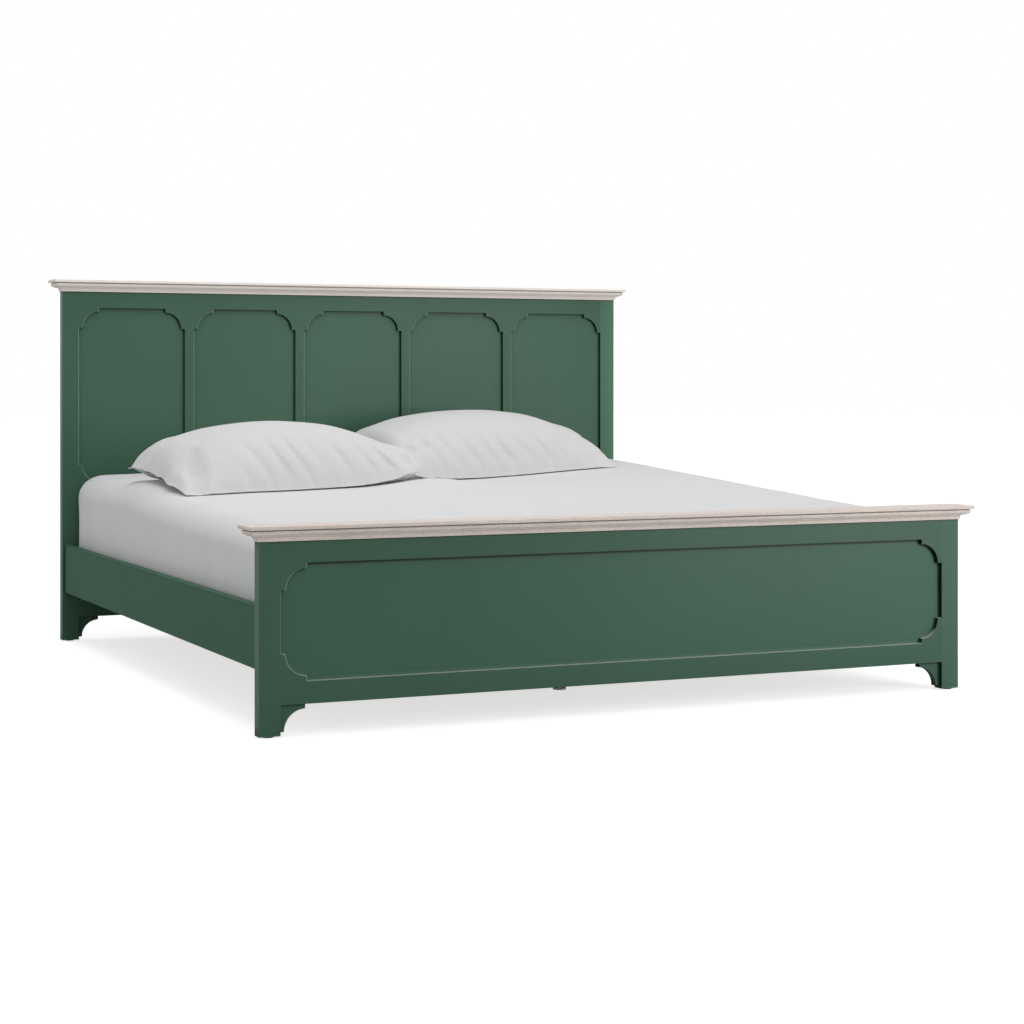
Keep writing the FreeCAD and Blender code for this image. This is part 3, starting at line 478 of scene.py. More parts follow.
def zincSteel():
    material, tree, shader = newMaterial("zincSteel", {"Metallic": 1.0})
    place = objectPlace(tree)
    edges = useGroup(tree, softEdges, {"Radius": zinc["edge"]})
    sockets = {"Vector": place, "Scale": zinc["spangle"]}
    spangle = addNode(tree, "ShaderNodeTexVoronoi", sockets).outputs["Color"]
    cloud = noiseNode(tree, place, *zinc["cloud"])
    colour = mixColours(tree, zinc["spangleShare"], zinc["bright"], spangle, "SOFT_LIGHT")
    colour = mixColours(tree, remap(tree, cloud, *zinc["dulled"]), colour, zinc["dull"])
    setSurface(tree, shader, zinc, colour, cloud, cloud, edges["Normal"])
    return material


glide = {
    "dark": (0.030, 0.030, 0.032, 1),
    "scuffed": (0.052, 0.052, 0.055, 1),
    "ior": 1.46,
    "pits": (900.0, 2.0, 0.5),
    "edge": 0.0006,
    "rough": (0.3, 0.7, 0.5, 0.68),
    "bump": (0.25, 0.0003),
}


def glidePlastic():
    material, tree, shader = newMaterial("glidePlastic", {"IOR": glide["ior"]})
    edges = useGroup(tree, softEdges, {"Radius": glide["edge"]})
    pits = noiseNode(tree, objectPlace(tree), *glide["pits"])
    colour = mixColours(tree, pits, glide["dark"], glide["scuffed"])
    setSurface(tree, shader, glide, colour, pits, pits, edges["Normal"])
    return material


cotton = {
    "sheet": {"thread": (0.735, 0.735, 0.745, 1), "gap": (0.60, 0.60, 0.61, 1),
              "pitch": 0.0009, "crease": 9.0},
    "case": {"thread": (0.67, 0.67, 0.675, 1), "gap": (0.56, 0.56, 0.565, 1),
             "pitch": 0.0008, "crease": 11.0},
    "tick": {"thread": (0.70, 0.70, 0.68, 1), "gap": (0.50, 0.50, 0.49, 1),
             "pitch": 0.0022, "crease": 5.0},
    "plain": {"Specular IOR Level": 0.2, "Sheen Weight": 0.12, "Sheen Roughness": 0.5},
    "gaps": (0.1, 0.6),  # height of the weave at which the gaps end and the threads start
    "uneven": (0.35, 0.7, 0.97, 1.02),
    "rough": (0.3, 0.7, 0.82, 0.94),
    "creaseNoise": (5.0, 0.62),
    "creaseBump": (0.12, 0.02),
    "slubHeight": 0.5,
    "bump": (0.35, 0.0002),
}


def cottonCloth(name, kind):
    look = cotton[kind]
    material, tree, shader = newMaterial(name, cotton["plain"])
    place = objectPlace(tree)
    weave = useGroup(tree, plainWeave, {"Vector": place, "Pitch": look["pitch"]})
    colour = mixColours(tree, remap(tree, weave["Height"], *cotton["gaps"]), look["gap"], look["thread"])
    uneven = remap(tree, weave["Slubs"], *cotton["uneven"])
    colour = mixColours(tree, 1.0, colour, join(tree, uneven, uneven, uneven), "MULTIPLY")
    crease = noiseNode(tree, place, look["crease"], *cotton["creaseNoise"])
    soft = bumpNode(tree, crease, *cotton["creaseBump"])
    relief = doMath(tree, "ADD", weave["Height"], times(tree, weave["Slubs"], cotton["slubHeight"]))
    setSurface(tree, shader, cotton, colour, weave["Slubs"], relief, soft)
    return material


def finish(piece, material):
    piece.data.materials.clear()
    piece.data.materials.append(material)


frameLook = {
    "gap": 0.004,  # from a butted joint to its soft arris
    "wholeBoard": (-1.0, 9.0),  # below and above the bed
    # painted sheen towards the right on the posts, and on the foot posts a weaker painted highlight on
    # arrises that look right
    "footPost": {"rightSheen": 1.15, "rightHighlight": 0.3},
    "headPost": {"rightSheen": 1.65},
    # wider and stronger painted shade lines in the wide panels' corners
    "widePanel": {"narrow": 0.011, "corner": 1.7},
}


def dressFrame():
    gap = frameLook["gap"]
    lowest, highest = frameLook["wholeBoard"]
    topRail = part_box("headboard_top_rail")
    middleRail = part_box("headboard_middle_rail")
    railEnds = ("X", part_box("footboard_left_post")[1].x + gap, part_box("footboard_right_post")[0].x - gap)
    underTop = ("Z", topRail[0].z + gap, highest)
    overMiddle = ("Z", lowest, middleRail[1].z - gap)
    mullionEnds = ("Z", middleRail[1].z + gap, topRail[0].z - gap)
    # a post's inner arris is free only beside the panel
    footPost = ("Z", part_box("footboard_bottom_rail")[1].z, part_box("footboard_top_rail")[0].z)
    headPost = ("Z", middleRail[1].z, topRail[0].z)
    footPosts = paintedWood("FootPost", "Z", "board", [footPost], **frameLook["footPost"])
    headPosts = paintedWood("HeadPost", "Z", "board", [headPost], **frameLook["headPost"])
    bare = {axis: bareWood(axis) for axis in "XYZ"}
    finishes = []
    for board in ("foot", "head"):
        long = washedWood(board, "X")
        short = washedWood(board, "Y")
        finishes += [
            (board + "board_cornice_left", short),
            (board + "board_cornice_right", short),
            (board + "board_cornice", long),
            (board + "board_cap_board", long),
        ]
    finishes += [
        ("side_rail", paintedWood("SideRail", "Y", "rail")),
        ("bracket", paintedWood("Bracket", "Z")),
        ("mullion", paintedWood("Mullion", "Z", "board", [mullionEnds])),
        ("headboard_panel", paintedWood("Panel", "Z", "panel")),
        ("panel", paintedWood("WidePanel", "X", "panel", **frameLook["widePanel"])),
        ("headboard_top_rail", paintedWood("TopRail", "X", "board", [railEnds, underTop])),
        ("middle_rail", paintedWood("MiddleRail", "X", "board", [railEnds, overMiddle])),
        ("footboard_left_post", footPosts),
        ("footboard_right_post", footPosts),
        ("_post", headPosts),
        ("_rail", paintedWood("FootRail", "X", "board", [railEnds])),
        ("slats", bare["X"]),
        ("beam_cleats", bare["X"]),
        ("slat_ledger", bare["Y"]),
        ("centre_beam", bare["Y"]),
        ("centre_leg", bare["Z"]),
        ("post_glides", glidePlastic()),
        ("", zincSteel()),
    ]
    for name, node in nodes.items():
        # the first row whose word is in the name
        finish(node, next(material for word, material in finishes if word in name))


dressFrame()
print("frame finished")


# bedding

bed = {
    "corner": 0.08,  # rounding of the shoulders and the upright corners
    "cornerSteps": 7,
    "square": 14.0,  # how square the upright corners are, 2 being round
    "underside": 0.3,  # rounding below, as a share of the corner
    "headroom": 0.021,  # from the top's edge at the head up to the CAD sheet's highest point
    "crown": 0.014,
    "fall": 0.055,  # the top falls this much towards the foot
    "lean": 0.034,  # and rises this much towards the right of the head
    "leanAcross": (-0.5, 1.0),  # from where to where that rise goes
    "leanAlong": (-0.9, 1.0),
    # place, reach both ways and height: under the right pillow, the left hem and the left pillow's end
    "swells": (
        (0.22, 0.45, 0.42, 0.30, -0.026),
        (-0.84, 0.36, 0.20, 0.20, 0.024),
        (-0.09, 0.13, 0.16, 0.14, 0.018),
    ),
    "crease": {"start": -0.30, "length": 0.36, "place": 0.055, "skew": 0.10, "height": 0.006, "width": 0.014},
    "waves": ((2.3, 4.0, 0.0022), (7.0, 9.0, 0.0010)),  # how close, seed and height
    "step": 0.022,
    "ripple": 0.008,
    "rippleLength": 0.13,
    "rippleRise": 0.6,  # how fast the ripples change up the side
    "fineRipple": (3.1, 1.3, 20.0, 0.35),  # along, up, seed and share
    "sideStart": (0.955, 0.99),  # share of the half size where the sides' ripples start, and are full
    "sideFade": (1.0, 0.55),  # likewise, share of the height
    "tuck": 0.12,
    "coreInset": 0.006,
    "sheetThickness": 0.0012,
}
sheetLow, sheetHigh = (Vector(corner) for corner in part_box("fitted_sheet"))
bedMiddle = (sheetLow + sheetHigh) / 2
bedHalf = Vector((sheetHigh.x, (sheetHigh.y - sheetLow.y) / 2, 0))
bedEdge = sheetHigh.z - bed["headroom"]  # level of the top's edge at the head


def smooth(value, low, high):
    share = min(max((value - low) / (high - low), 0.0), 1.0)
    return share * share * (3 - 2 * share)


def bedRise(x, y):
    # height of the sheet's top over its level at the edge of the head
    across = min(abs(x) / (bedHalf.x - bed["corner"]), 1.0)
    along = (sheetHigh.y - bed["corner"] - y) / (2 * (bedHalf.y - bed["corner"]))
    slope = bed["lean"] * smooth(x, *bed["leanAcross"]) * smooth(y, *bed["leanAlong"])
    slope -= bed["fall"] * min(max(along, 0.0), 1.0)
    fold = bed["crease"]
    run = min(max((x - fold["start"]) / fold["length"], 0.0), 1.0)
    off = y - (fold["place"] + fold["skew"] * run)
    crease = fold["height"] * math.exp(-(off / fold["width"]) ** 2) * math.sin(math.pi * run)
    waves = 0.0
    for close, seed, height in bed["waves"]:
        waves += height * noise.noise(Vector((x * close, y * close, seed)))
    swell = 0.0
    for placeX, placeY, reachX, reachY, height in bed["swells"]:
        swell += height * math.exp(-((x - placeX) / reachX) ** 2 - ((y - placeY) / reachY) ** 2)
    return bed["crown"] * (1 - across * across) + slope + crease + waves + swell


def bedTop(x, y):
    return bedEdge + bedRise(x, y)


def placesAlong(half, corner):
    steps = bed["cornerSteps"]
    ends = [half - corner + corner * at / steps for at in range(1, steps + 1)]
    count = round(2 * (half - corner) / bed["step"])
    middle = [(half - corner) * (2 * at / count - 1) for at in range(count + 1)]
    return [-end for end in reversed(ends)] + middle + ends


def blockFaces(xs, ys, zs, opening):
    # a block divided at these places. opening is the width of the rim left below
    index = {}
    points = []
    faces = []

    def spot(place):
        if place not in index:
            index[place] = len(points)
            points.append(Vector((xs[place[0]], ys[place[1]], zs[place[2]])))
        return index[place]

    def addFace(*places):
        faces.append([spot(place) for place in places])

    lastX, lastY, lastZ = len(xs) - 1, len(ys) - 1, len(zs) - 1
    for i in range(lastX):
        for j in range(lastY):
            addFace((i, j, lastZ), (i + 1, j, lastZ), (i + 1, j + 1, lastZ), (i, j + 1, lastZ))
            middleX, middleY = (xs[i] + xs[i + 1]) / 2, (ys[j] + ys[j + 1]) / 2
            if opening and abs(middleX) < xs[-1] - opening and abs(middleY) < ys[-1] - opening:
                continue
            addFace((i, j, 0), (i, j + 1, 0), (i + 1, j + 1, 0), (i + 1, j, 0))
    for k in range(lastZ):
        for i in range(lastX):
            addFace((i, 0, k), (i + 1, 0, k), (i + 1, 0, k + 1), (i, 0, k + 1))
            addFace((i, lastY, k), (i, lastY, k + 1), (i + 1, lastY, k + 1), (i + 1, lastY, k))
        for j in range(lastY):
            addFace((0, j, k), (0, j, k + 1), (0, j + 1, k + 1), (0, j + 1, k))
            addFace((lastX, j, k), (lastX, j + 1, k), (lastX, j + 1, k + 1), (lastX, j, k + 1))
    return points, faces


def roundedPoint(point, half, corner):
    # the block's corners rounded, wider above than below
    inner = half - Vector((corner, corner, corner))
    core = Vector([min(max(value, -limit), limit) for value, limit in zip(point, inner)])
    out = point - core
    wide = max(abs(out.x), abs(out.y))
    if wide > 0:
        plan = (abs(out.x) ** bed["square"] + abs(out.y) ** bed["square"]) ** (1 / bed["square"])
        share = max(wide, abs(out.z)) / math.hypot(wide, out.z)
        point = core + Vector((out.x * wide / plan, out.y * wide / plan, out.z)) * share
    low = bed["underside"] * corner
    if point.z < -inner.z:
        point.z = -half.z + (point.z + half.z) * bed["underside"]
    elif point.z < inner.z:
        point.z = low - half.z + (point.z + inner.z) * (inner.z + half.z - low) / (2 * inner.z)
    return point


def rippleAt(point, half, share):
    # factor that draws a side in. share is the height, from 0 to 1
    away = Vector((point.x / half.x, point.y / half.y))
    side = smooth(max(abs(away.x), abs(away.y)), *bed["sideStart"]) * smooth(share, *bed["sideFade"])
    run = (point.y if abs(away.x) > abs(away.y) else point.x) / bed["rippleLength"]
    seed = round(away.x) * 5 + round(away.y) * 9  # one for each side
    fold = 0.5 + 0.5 * noise.noise(Vector((run, share * bed["rippleRise"], seed)))
    along, up, fineSeed, fine = bed["fineRipple"]
    fold += fine * noise.noise(Vector((run * along, share * up, fineSeed)))
    return 1 - side * bed["ripple"] * fold / max(half.x, half.y)


def beddingForm(name, inset, opening=None):
    # block with rounded corners, shaped like the bed's top. inset draws it in from the sheet's own faces
    corner = bed["corner"] - inset
    half = Vector((bedHalf.x - inset, bedHalf.y - inset, (bedEdge - sheetLow.z) / 2 - inset))
    points, faces = blockFaces(*(placesAlong(size, corner) for size in half), opening)
    for at, point in enumerate(points):
        point = roundedPoint(point, half, corner)
        share = (point.z + half.z) / (2 * half.z)
        draw = rippleAt(point, half, share)
        x, y = point.x * draw, point.y * draw + bedMiddle.y
        points[at] = Vector((x, y, sheetLow.z + inset + (point.z + half.z) + bedRise(x, y) * share))
    mesh = bpy.data.meshes.new(name)
    mesh.from_pydata(points, [], faces)
    mesh.shade_smooth()
    piece = bpy.data.objects.new(name, mesh)
    scene.collection.objects.link(piece)
    return piece


def addSkin(piece, thickness):
    skin = piece.modifiers.new("thickness", "SOLIDIFY")
    skin.thickness = thickness
    skin.offset = -1


def subdivide(piece):
    modifier = piece.modifiers.new("subdivision", "SUBSURF")
    modifier.levels = modifier.render_levels = 1


def makeMattress():
    piece = beddingForm("mattressCore", bed["coreInset"])
    finish(piece, cottonCloth("tickingCloth", "tick"))
    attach(piece, "mattress")
    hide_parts("mattress")


def makeFittedSheet():
    piece = beddingForm("fittedSheet", 0.0, bed["tuck"])
    addSkin(piece, bed["sheetThickness"])
    subdivide(piece)
    finish(piece, cottonCloth("sheetCotton", "sheet"))
    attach(piece, "mattress")
    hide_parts("fitted_sheet")


makeMattress()
makeFittedSheet()
print("mattress and sheet made")


# pillows. closed and opened are the distances from a case's two ends, v runs from -1 at its front to 1 at
# its back

pillow = {
    "depth": 0.50,
    "columns": 92,
    "rows": 60,
    "crowded": (0.35, 0.6),  # how much columns and rows crowd towards the edges
    "lip": 0.005,  # width of the seam that stands out round the edge
    "seam": 0.002,
    "seamFade": 0.1,
    "section": (2.6, 0.58),  # powers of the section's curve
    "rim": 0.0008,
    "least": 0.0006,  # height that the upper layer keeps
    "waist": (0.006, 0.2),  # how far the closed end pulls in between its corners, and over what length
    "ragged": (0.010, 0.1, 3.0),  # how far the open end wanders, likewise, and how often
    "sidePull": 0.02,
    "cornerPull": (0.07, 0.06),  # how far the closed corners gather, and over what length
    "dimple": 0.014,
    "dimpleSpacing": 0.068,
    "dimpleSlant": 0.115,
    "dimpleWander": (0.45, 5.0, 0.8),  # how far, and how often along and across
    "dimplePower": 2.2,
    "dimpleStrength": (0.65, 0.8, 9.0, 1.5),  # even and uneven part, and how often that changes
    "dimpleRange": ((0.12, 0.34), (0.62, 0.93)),  # parts of the section where dimples start and end
    "dimpleEnds": ((0.03, 0.12), (0.14, 0.24)),  # distances from the closed and the open end where they start
    "steep": (0.2, 0.95),  # share of the front half where a dent goes inward as well as down
    "inward": 0.7,
    "hollowPlace": (0.042, -0.60),
    "hollowReach": (0.065, 0.45),
    "hollowEdge": (0.1, 1.1),
    "crease": 0.006,
    "creaseWidth": 0.007,
    "creaseFade": 0.5,
    "pitReach": (0.017, 0.065),
    "fold": 0.005,
    "foldEven": 0.4,
    "foldWave": (4.5, 3.0),
    "foldLength": (0.01, 0.12),
    "foldAcross": (1.0, 0.75),
    "liftLength": 0.3,
    "underLift": (0.07, 0.03),  # length over which the lower layer comes down, and more towards the back
    "underSeam": 0.05,
    "pressure": 4.0,
    "frames": 20,
    "slack": 0.02,
    "cap": 0.005,
    "filled": 0.8,  # share of the case that the pressure fills
    "cloth": {"quality": 5, "mass": 0.2, "tension_stiffness": 20, "compression_stiffness": 20,
              "shear_stiffness": 12, "bending_stiffness": 1.5},
    "gap": 0.0012,
    "thickness": 0.001,
    "empty": 0.14,  # length of the case past the end of its pillow
    "inset": 0.009,
    "coreEnd": (2.5, 2.4, 0.6),  # rounding of the pillow's own end: rate and powers
    "coreSink": (1.6, 3.0),
    "coreLeast": 0.001,
    "coreLift": 0.3,
}

# length is the case's, with its open end. A ridge holds distances from the open end and heights, a hem
# places across and heights, a crease its place on the hem, its length and where it ends across, a pit its
# place and depth
pillows = {
    "left": {
        "length": 0.775, "turn": 5.0, "side": -1, "seed": 3.0, "shift": (-0.004, 0.0),
        "curl": 0.028, "curlLength": 0.09, "hollow": 0.036,
        "ridge": ((0.0, 0.003), (0.02, 0.058), (0.05, 0.088), (0.11, 0.114), (0.19, 0.150), (0.28, 0.176),
                  (0.37, 0.185), (0.45, 0.183), (0.54, 0.173), (0.607, 0.154), (0.66, 0.131), (0.70, 0.109),
                  (0.745, 0.090), (0.76, 0.075), (0.768, 0.052), (0.775, 0.0)),
        "hem": ((-1.0, 0.002), (-0.8, 0.008), (-0.6, 0.014), (-0.4, 0.016), (0.0, 0.019), (0.4, 0.029),
                (1.0, 0.042)),
        "creases": ((0.36, 0.11, 0.42), (0.1, 0.06, -0.1), (-0.08, 0.035, -0.28), (-0.25, 0.05, -0.5),
                    (-0.7, 0.07, -0.82)),
        "pits": ((0.045, -0.86, 0.014),),
    },
    "right": {
        "length": 0.825, "turn": 7.0, "side": 1, "seed": 11.0, "shift": (-0.012, -0.012),
        "curl": 0.042, "curlLength": 0.055, "hollow": 0.010,
        "ridge": ((0.0, 0.003), (0.02, 0.060), (0.05, 0.082), (0.12, 0.111), (0.23, 0.160), (0.33, 0.179),
                  (0.42, 0.186), (0.51, 0.187), (0.605, 0.181), (0.70, 0.163), (0.785, 0.122), (0.805, 0.098),
                  (0.815, 0.075), (0.821, 0.042), (0.825, 0.0)),
        "hem": ((-1.0, 0.002), (-0.8, 0.013), (-0.5, 0.016), (0.0, 0.028), (1.0, 0.050)),
        "creases": ((-0.8, 0.07, -0.7), (-0.3, 0.08, -0.45), (0.3, 0.08, 0.1)),
        "pits": ((0.050, -0.80, 0.017), (0.10, -0.78, 0.011)),
    },
}


def curveAt(line, at):
    # smooth curve through the pairs of line
    if at <= line[0][0]:
        return line[0][1]
    for number in range(1, len(line)):
        if at <= line[number][0]:
            break
    else:
        return line[-1][1]
    (x1, y1), (x2, y2) = line[number - 1], line[number]
    (x0, y0), (x3, y3) = line[max(number - 2, 0)], line[min(number + 1, len(line) - 1)]
    share = (at - x1) / (x2 - x1)
    leave = (y2 - y0) / (x2 - x0) * (x2 - x1)
    reach = (y3 - y1) / (x3 - x1) * (x2 - x1)
    bend = y1 - y2
    square = -3 * bend - 2 * leave - reach
    cube = 2 * bend + leave + reach
    return y1 + leave * share + square * share ** 2 + cube * share ** 3


def pillowDome(v):
    # the pillow's section, from the front to the back
    across, up = pillow["section"]
    return max(0.0, 1 - (abs(v) / (1 - 2 * pillow["lip"] / pillow["depth"])) ** across) ** up


def pillowRise(look, opened, v):
    # height of the upper layer over its seam
    dome = pillowDome(v)
    return max(curveAt(look["ridge"], opened) * dome + pillow["rim"] * (1 - dome), pillow["least"])


def dimpleDent(look, closed, opened, v, along):
    # slanting dimples along the front
    if v >= 0:
        return 0.0
    dome = pillowDome(v)
    seed = look["seed"]
    far, often, oftenAcross = pillow["dimpleWander"]
    wander = far * noise.noise(Vector((along * often, dome * oftenAcross, seed)))
    turns = (along - pillow["dimpleSlant"] * (1 - dome)) / pillow["dimpleSpacing"] + wander
    wave = max(0.0, math.cos(2 * math.pi * turns)) ** pillow["dimplePower"]
    start, end = pillow["dimpleRange"]
    closedStart, openStart = pillow["dimpleEnds"]
    area = smooth(dome, *start) * (1 - smooth(dome, *end))
    area *= smooth(closed, *closedStart)
    area *= smooth(opened, *openStart)
    even, uneven, often, oftenAcross = pillow["dimpleStrength"]
    change = noise.noise(Vector((along * often, dome * oftenAcross, seed + 5)))
    strength = max(0.0, even + uneven * change)
    return pillow["dimple"] * wave * area * strength


def pillowDent(look, closed, opened, v, along):
    # how far the cloth is pressed in: dimples, the hollow past the pillow's end, creases that run in from
    # the hem, and pits
    dent = dimpleDent(look, closed, opened, v, along)
    (hollowAlong, hollowAcross), (reachAlong, reachAcross) = pillow["hollowPlace"], pillow["hollowReach"]
    away = Vector(((opened - hollowAlong) / reachAlong, (v - hollowAcross) / reachAcross)).length
    dent += look["hollow"] * (1 - smooth(away, *pillow["hollowEdge"]))
    for hem, end, endAcross in look["creases"]:
        share = min(max(opened / end, 0.0), 1.0)
        off = (v - hem - (endAcross - hem) * share) * pillow["depth"] / 2
        off = math.hypot(off, max(opened - end, 0.0))
        fade = 1 - pillow["creaseFade"] * share
        dent += pillow["crease"] * math.exp(-(off / pillow["creaseWidth"]) ** 2) * fade
    wideAlong, wideAcross = pillow["pitReach"]
    for pitAlong, pitAcross, depth in look["pits"]:
        away = Vector(((closed - pitAlong) / wideAlong, (v - pitAcross) / wideAcross))
        dent += depth * math.exp(-away.length_squared)
    return dent


def hemLift(look, opened, v):
    # the open end stands off the bed, most at the back, and waves between its creases
    lift = curveAt(look["hem"], v) * (1 - smooth(opened, 0.0, pillow["liftLength"]))
    across, along = pillow["foldWave"]
    wave = noise.noise(Vector((v * across, opened * along, look["seed"])))
    reach = (1 - smooth(opened, *pillow["foldLength"])) * smooth(abs(v), *pillow["foldAcross"])
    return lift + pillow["fold"] * (pillow["foldEven"] + wave) * reach


def coreRise(rise, u, inset):
    # the pillow itself is rounded at its own end, and lies under the case
    rate, first, second = pillow["coreEnd"]
    sink, soon = pillow["coreSink"]
    rounding = (1 - (1 - min((1 - u) * rate, 1.0)) ** first) ** second
    return max(rise * rounding - sink * inset * min(rounding * soon, 1.0), pillow["coreLeast"])


def pillowPoint(look, u, v, layer, inner):
    # u runs from the closed end to the open one. The result is in the pillow's own axes
    length = look["length"]
    inset = pillow["inset"] if inner else 0.0
    closed = (u + 1) / 2 * (length - (pillow["empty"] if inner else 0.0)) + inset
    opened = length - closed
    waist, waistLength = pillow["waist"]
    ragged, raggedLength, often = pillow["ragged"]
    x = closed - length / 2
    x += waist * (1 - v * v) * (1 - smooth(closed, 0.0, waistLength))
    wander = noise.noise(Vector((v * often, look["seed"], 1)))
    x += ragged * wander * (1 - smooth(opened, 0.0, raggedLength))
    pull, pullLength = pillow["cornerPull"]
    y = v * (pillow["depth"] / 2 - inset) * (1 - pillow["sidePull"] * (1 - u * u))
    y *= 1 - pull * max(0.0, 1 - closed / pullLength) ** 2
    seam = pillow["seam"] * smooth(opened, 0.0, pillow["seamFade"])
    seam += look["curl"] * math.exp(-closed / look["curlLength"])
    lift = hemLift(look, opened, v)
    if layer > 0:
        rise = pillowRise(look, opened, v)
        if inner:
            rise = coreRise(rise, u, inset)
        dent = pillowDent(look, closed, opened, v, look["side"] * x)
        steep = smooth(-v, *pillow["steep"])
        height = max(rise - dent * (1 - pillow["inward"] * steep), pillow["least"])
        return Vector((x, y + dent * steep, seam + lift + height))
    edge = min(closed, (1 - abs(v)) * pillow["depth"] / 2)
    comesDown, more = pillow["underLift"]
    under = seam * (1 - smooth(edge, 0.0, pillow["underSeam"]))
    under += lift * (1 - smooth(opened, 0.0, comesDown + more * v))
    return Vector((x, y, under + inset * pillow["coreLift"]))


def pillowMesh(name, look, inner=False):
    # two layers joined at the front, the back and the closed end, and for the pillow itself at both ends
    columns, rows = pillow["columns"], pillow["rows"]
    points = []
    faces = []
    index = {}

    def crowd(at, count, share):
        return -math.cos(math.pi * at / count) * share + (2 * at / count - 1) * (1 - share)

    def spot(column, row, layer):
        rim = row in (0, rows) or column == 0 or (inner and column == columns)
        key = (column, row, 0 if rim else layer)
        if key not in index:
            index[key] = len(points)
            u = crowd(column, columns, pillow["crowded"][0])
            v = crowd(row, rows, pillow["crowded"][1])
            points.append(pillowPoint(look, u, v, 1 if rim else layer, inner))
        return index[key]

    for column in range(columns):
        for row in range(rows):
            upper = [(column, row), (column + 1, row), (column + 1, row + 1), (column, row + 1)]
            if look["side"] < 0:
                upper.reverse()
            faces.append([spot(*place, 1) for place in upper])
            faces.append([spot(*place, -1) for place in reversed(upper)])
    for point in points:
        point.x *= look["side"]
    mesh = bpy.data.meshes.new(name)
    mesh.from_pydata(points, [], faces)
    piece = bpy.data.objects.new(name, mesh)
    scene.collection.objects.link(piece)
    return piece, index


def puff(piece, index):
    # cloth simulation: the case is a little larger than its pillow, so the pressure leaves small soft creases
    filled = piece.vertex_groups.new(name="filled")
    last = pillow["filled"] * pillow["columns"]
    filled.add([at for (column, row, layer), at in index.items() if column < last], 1.0, "REPLACE")
    lying = piece.vertex_groups.new(name="lying")
    lying.add([at for (column, row, layer), at in index.items() if layer < 0], 1.0, "REPLACE")
    start = [vertex.co.copy() for vertex in piece.data.vertices]
    cloth = piece.modifiers.new("cloth", "CLOTH")
    settings = cloth.settings
    for name, value in pillow["cloth"].items():
        setattr(settings, name, value)
    settings.shrink_min = -pillow["slack"]
    settings.vertex_group_mass = "lying"
    settings.effector_weights.gravity = 0
    settings.use_pressure = True
    settings.uniform_pressure_force = pillow["pressure"]
    settings.vertex_group_pressure = "filled"
    cloth.collision_settings.use_collision = False
    cloth.point_cache.frame_start = 1
    cloth.point_cache.frame_end = pillow["frames"]
    for number in range(1, pillow["frames"] + 1):
        scene.frame_set(number)
    view = bpy.context.evaluated_depsgraph_get()
    shape = bpy.data.meshes.new_from_object(piece.evaluated_get(view))
    piece.modifiers.remove(cloth)
    moves = []
    for vertex, settled, before in zip(piece.data.vertices, shape.vertices, start):
        move = settled.co - before
        moves.append(move.length)
        if move.length > pillow["cap"]:
            move *= pillow["cap"] / move.length
        vertex.co = before + move
    print(piece.name, "moved", round(max(moves), 4), round(sum(moves) / len(moves), 4))
    bpy.data.meshes.remove(shape)
    scene.frame_set(1)


def layDown(piece, look, centre):
    # turned on the bed, and following its top
    turn = Matrix.Rotation(math.radians(look["turn"]), 3, "Z")
    for vertex in piece.data.vertices:
        place = turn @ vertex.co + centre
        height = bedTop(place.x, place.y) + max(vertex.co.z, 0.0) + pillow["gap"]
        vertex.co = Vector((place.x, place.y, height))
    piece.data.shade_smooth()


def makePillow(word):
    look = pillows[word]
    low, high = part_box("pillowcase_" + word)
    centre = (low + high) / 2 + Vector((*look["shift"], 0))
    centre.z = 0
    case, index = pillowMesh("pillowcase" + word.title(), look)
    puff(case, index)
    layDown(case, look, centre)
    addSkin(case, pillow["thickness"])
    subdivide(case)
    finish(case, caseCotton)
    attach(case, "pillow_" + word)
    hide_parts("pillowcase_" + word)
    core, index = pillowMesh("pillow" + word.title(), look, inner=True)
    layDown(core, look, centre)
    subdivide(core)
    finish(core, fillCotton)
    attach(core, "pillow_" + word)
    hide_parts("pillow_" + word)


caseCotton = cottonCloth("pillowcaseCotton", "case")
fillCotton = cottonCloth("pillowTicking", "tick")
makePillow("left")
makePillow("right")
print("pillows made")


# floor, light and camera

studio = {
    "sky": 0.60,
    "floor": 0.70,
    "floorRoughness": 0.9,
    "floorReach": 40.0,
    "floorGlow": 0.68,
    "left": {"place": (-1.0, -0.4, 2.9), "aim": (0.0, 0.2, 0.5), "size": 2.4, "power": 26.5},
    "right": {"place": (1.6, 0.2, 2.9), "aim": (0.3, 0.2, 0.5), "size": 2.4, "power": 14.0},
    "front": {"place": (2.2, -3.6, 1.0), "aim": (0.9, -1.0, 0.4), "size": 1.5, "power": 36.0},
}
view = {
    "place": (-2.6055, -6.0498, 0.8707),
    "turn": 24.38,
    "lens": 76.12,
    "sensor": 36.0,
    "drop": -0.1328,
    "farthest": 200.0,
}


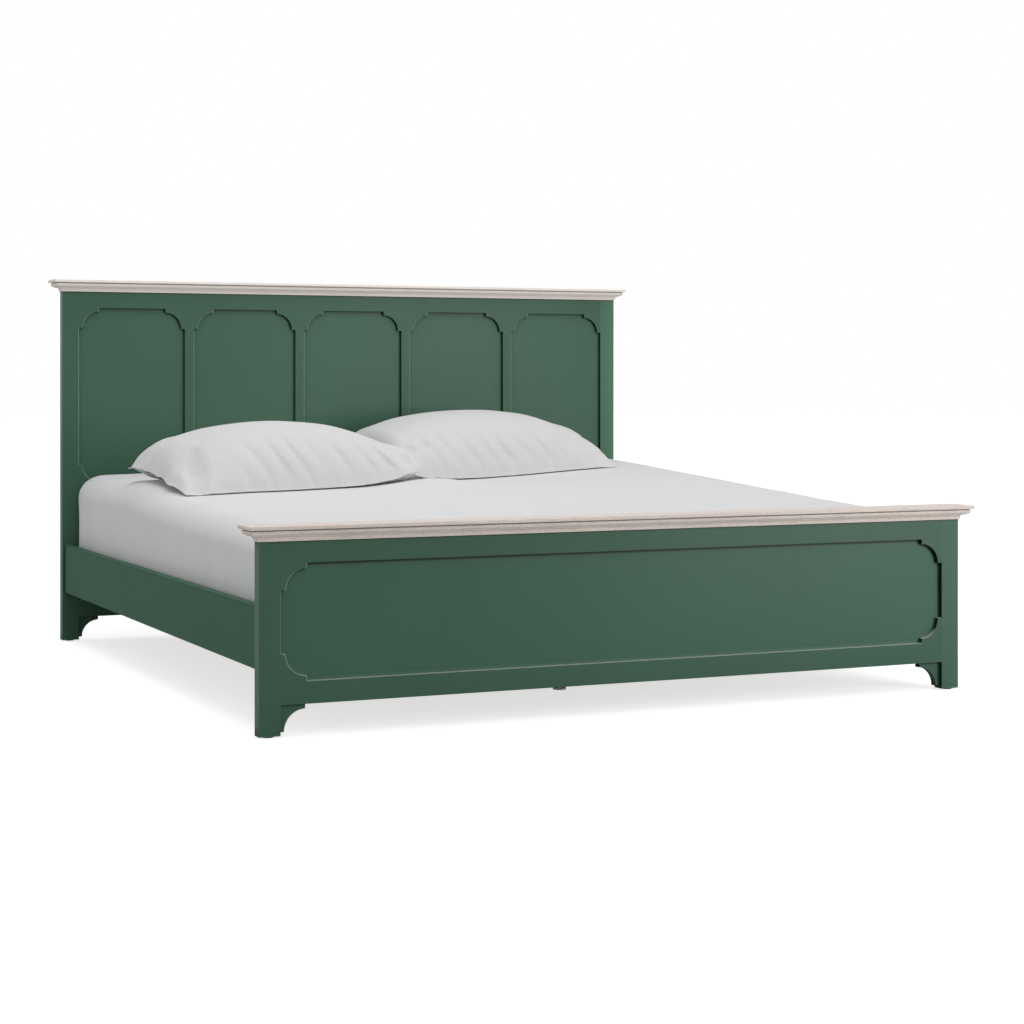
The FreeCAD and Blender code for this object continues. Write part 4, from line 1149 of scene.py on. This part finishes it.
def makeFloor():
    mesh = bpy.data.meshes.new("floor")
    reach = studio["floorReach"]
    corners = [(-reach, -reach, 0), (reach, -reach, 0), (reach, reach, 0), (-reach, reach, 0)]
    mesh.from_pydata(corners, [], [(0, 1, 2, 3)])
    floor = bpy.data.objects.new("floor", mesh)
    scene.collection.objects.link(floor)
    shade = studio["floor"]
    plain = {"Base Color": (shade, shade, shade, 1), "Roughness": studio["floorRoughness"],
             "Specular IOR Level": 0.0, "Emission Color": (1, 1, 1, 1)}
    material, tree, shader = newMaterial("floorPaper", plain)
    paths = addNode(tree, "ShaderNodeLightPath").outputs
    connect(tree, shader["Emission Strength"], times(tree, paths["Is Camera Ray"], studio["floorGlow"]))
    finish(floor, material)


def makeWorld():
    world = bpy.data.worlds.new("studioSky")
    scene.world = world
    world.use_nodes = True
    tree = world.node_tree
    tree.nodes.clear()
    paths = addNode(tree, "ShaderNodeLightPath").outputs
    seen = doMath(tree, "MAXIMUM", paths["Is Camera Ray"], paths["Is Glossy Ray"])
    seen = doMath(tree, "MAXIMUM", seen, paths["Is Transmission Ray"])
    strength = remap(tree, seen, 0.0, 1.0, studio["sky"], 1.0)
    background = addNode(tree, "ShaderNodeBackground", {"Color": (1, 1, 1, 1), "Strength": strength})
    output = tree.nodes.new("ShaderNodeOutputWorld")
    tree.links.new(background.outputs[0], output.inputs["Surface"])


def makeLamp(name):
    look = studio[name]
    lamp = bpy.data.lights.new(name + "Lamp", "AREA")
    lamp.shape = "DISK"
    lamp.size = look["size"]
    lamp.energy = look["power"]
    holder = bpy.data.objects.new(name + "Lamp", lamp)
    holder.location = look["place"]
    toward = Vector(look["aim"]) - Vector(look["place"])
    holder.rotation_euler = toward.to_track_quat("-Z", "Y").to_euler()
    scene.collection.objects.link(holder)


def makeCamera():
    camera = bpy.data.cameras.new("camera")
    camera.sensor_width = view["sensor"]
    camera.lens = view["lens"]
    camera.shift_y = view["drop"]
    camera.clip_end = view["farthest"]
    holder = bpy.data.objects.new("camera", camera)
    holder.location = view["place"]
    holder.rotation_euler = (math.radians(90), 0, math.radians(-view["turn"]))
    scene.collection.objects.link(holder)
    scene.camera = holder


makeFloor()
makeWorld()
for lampName in ("left", "right", "front"):
    makeLamp(lampName)
makeCamera()
scene.view_settings.view_transform = "Standard"
print("studio ready")
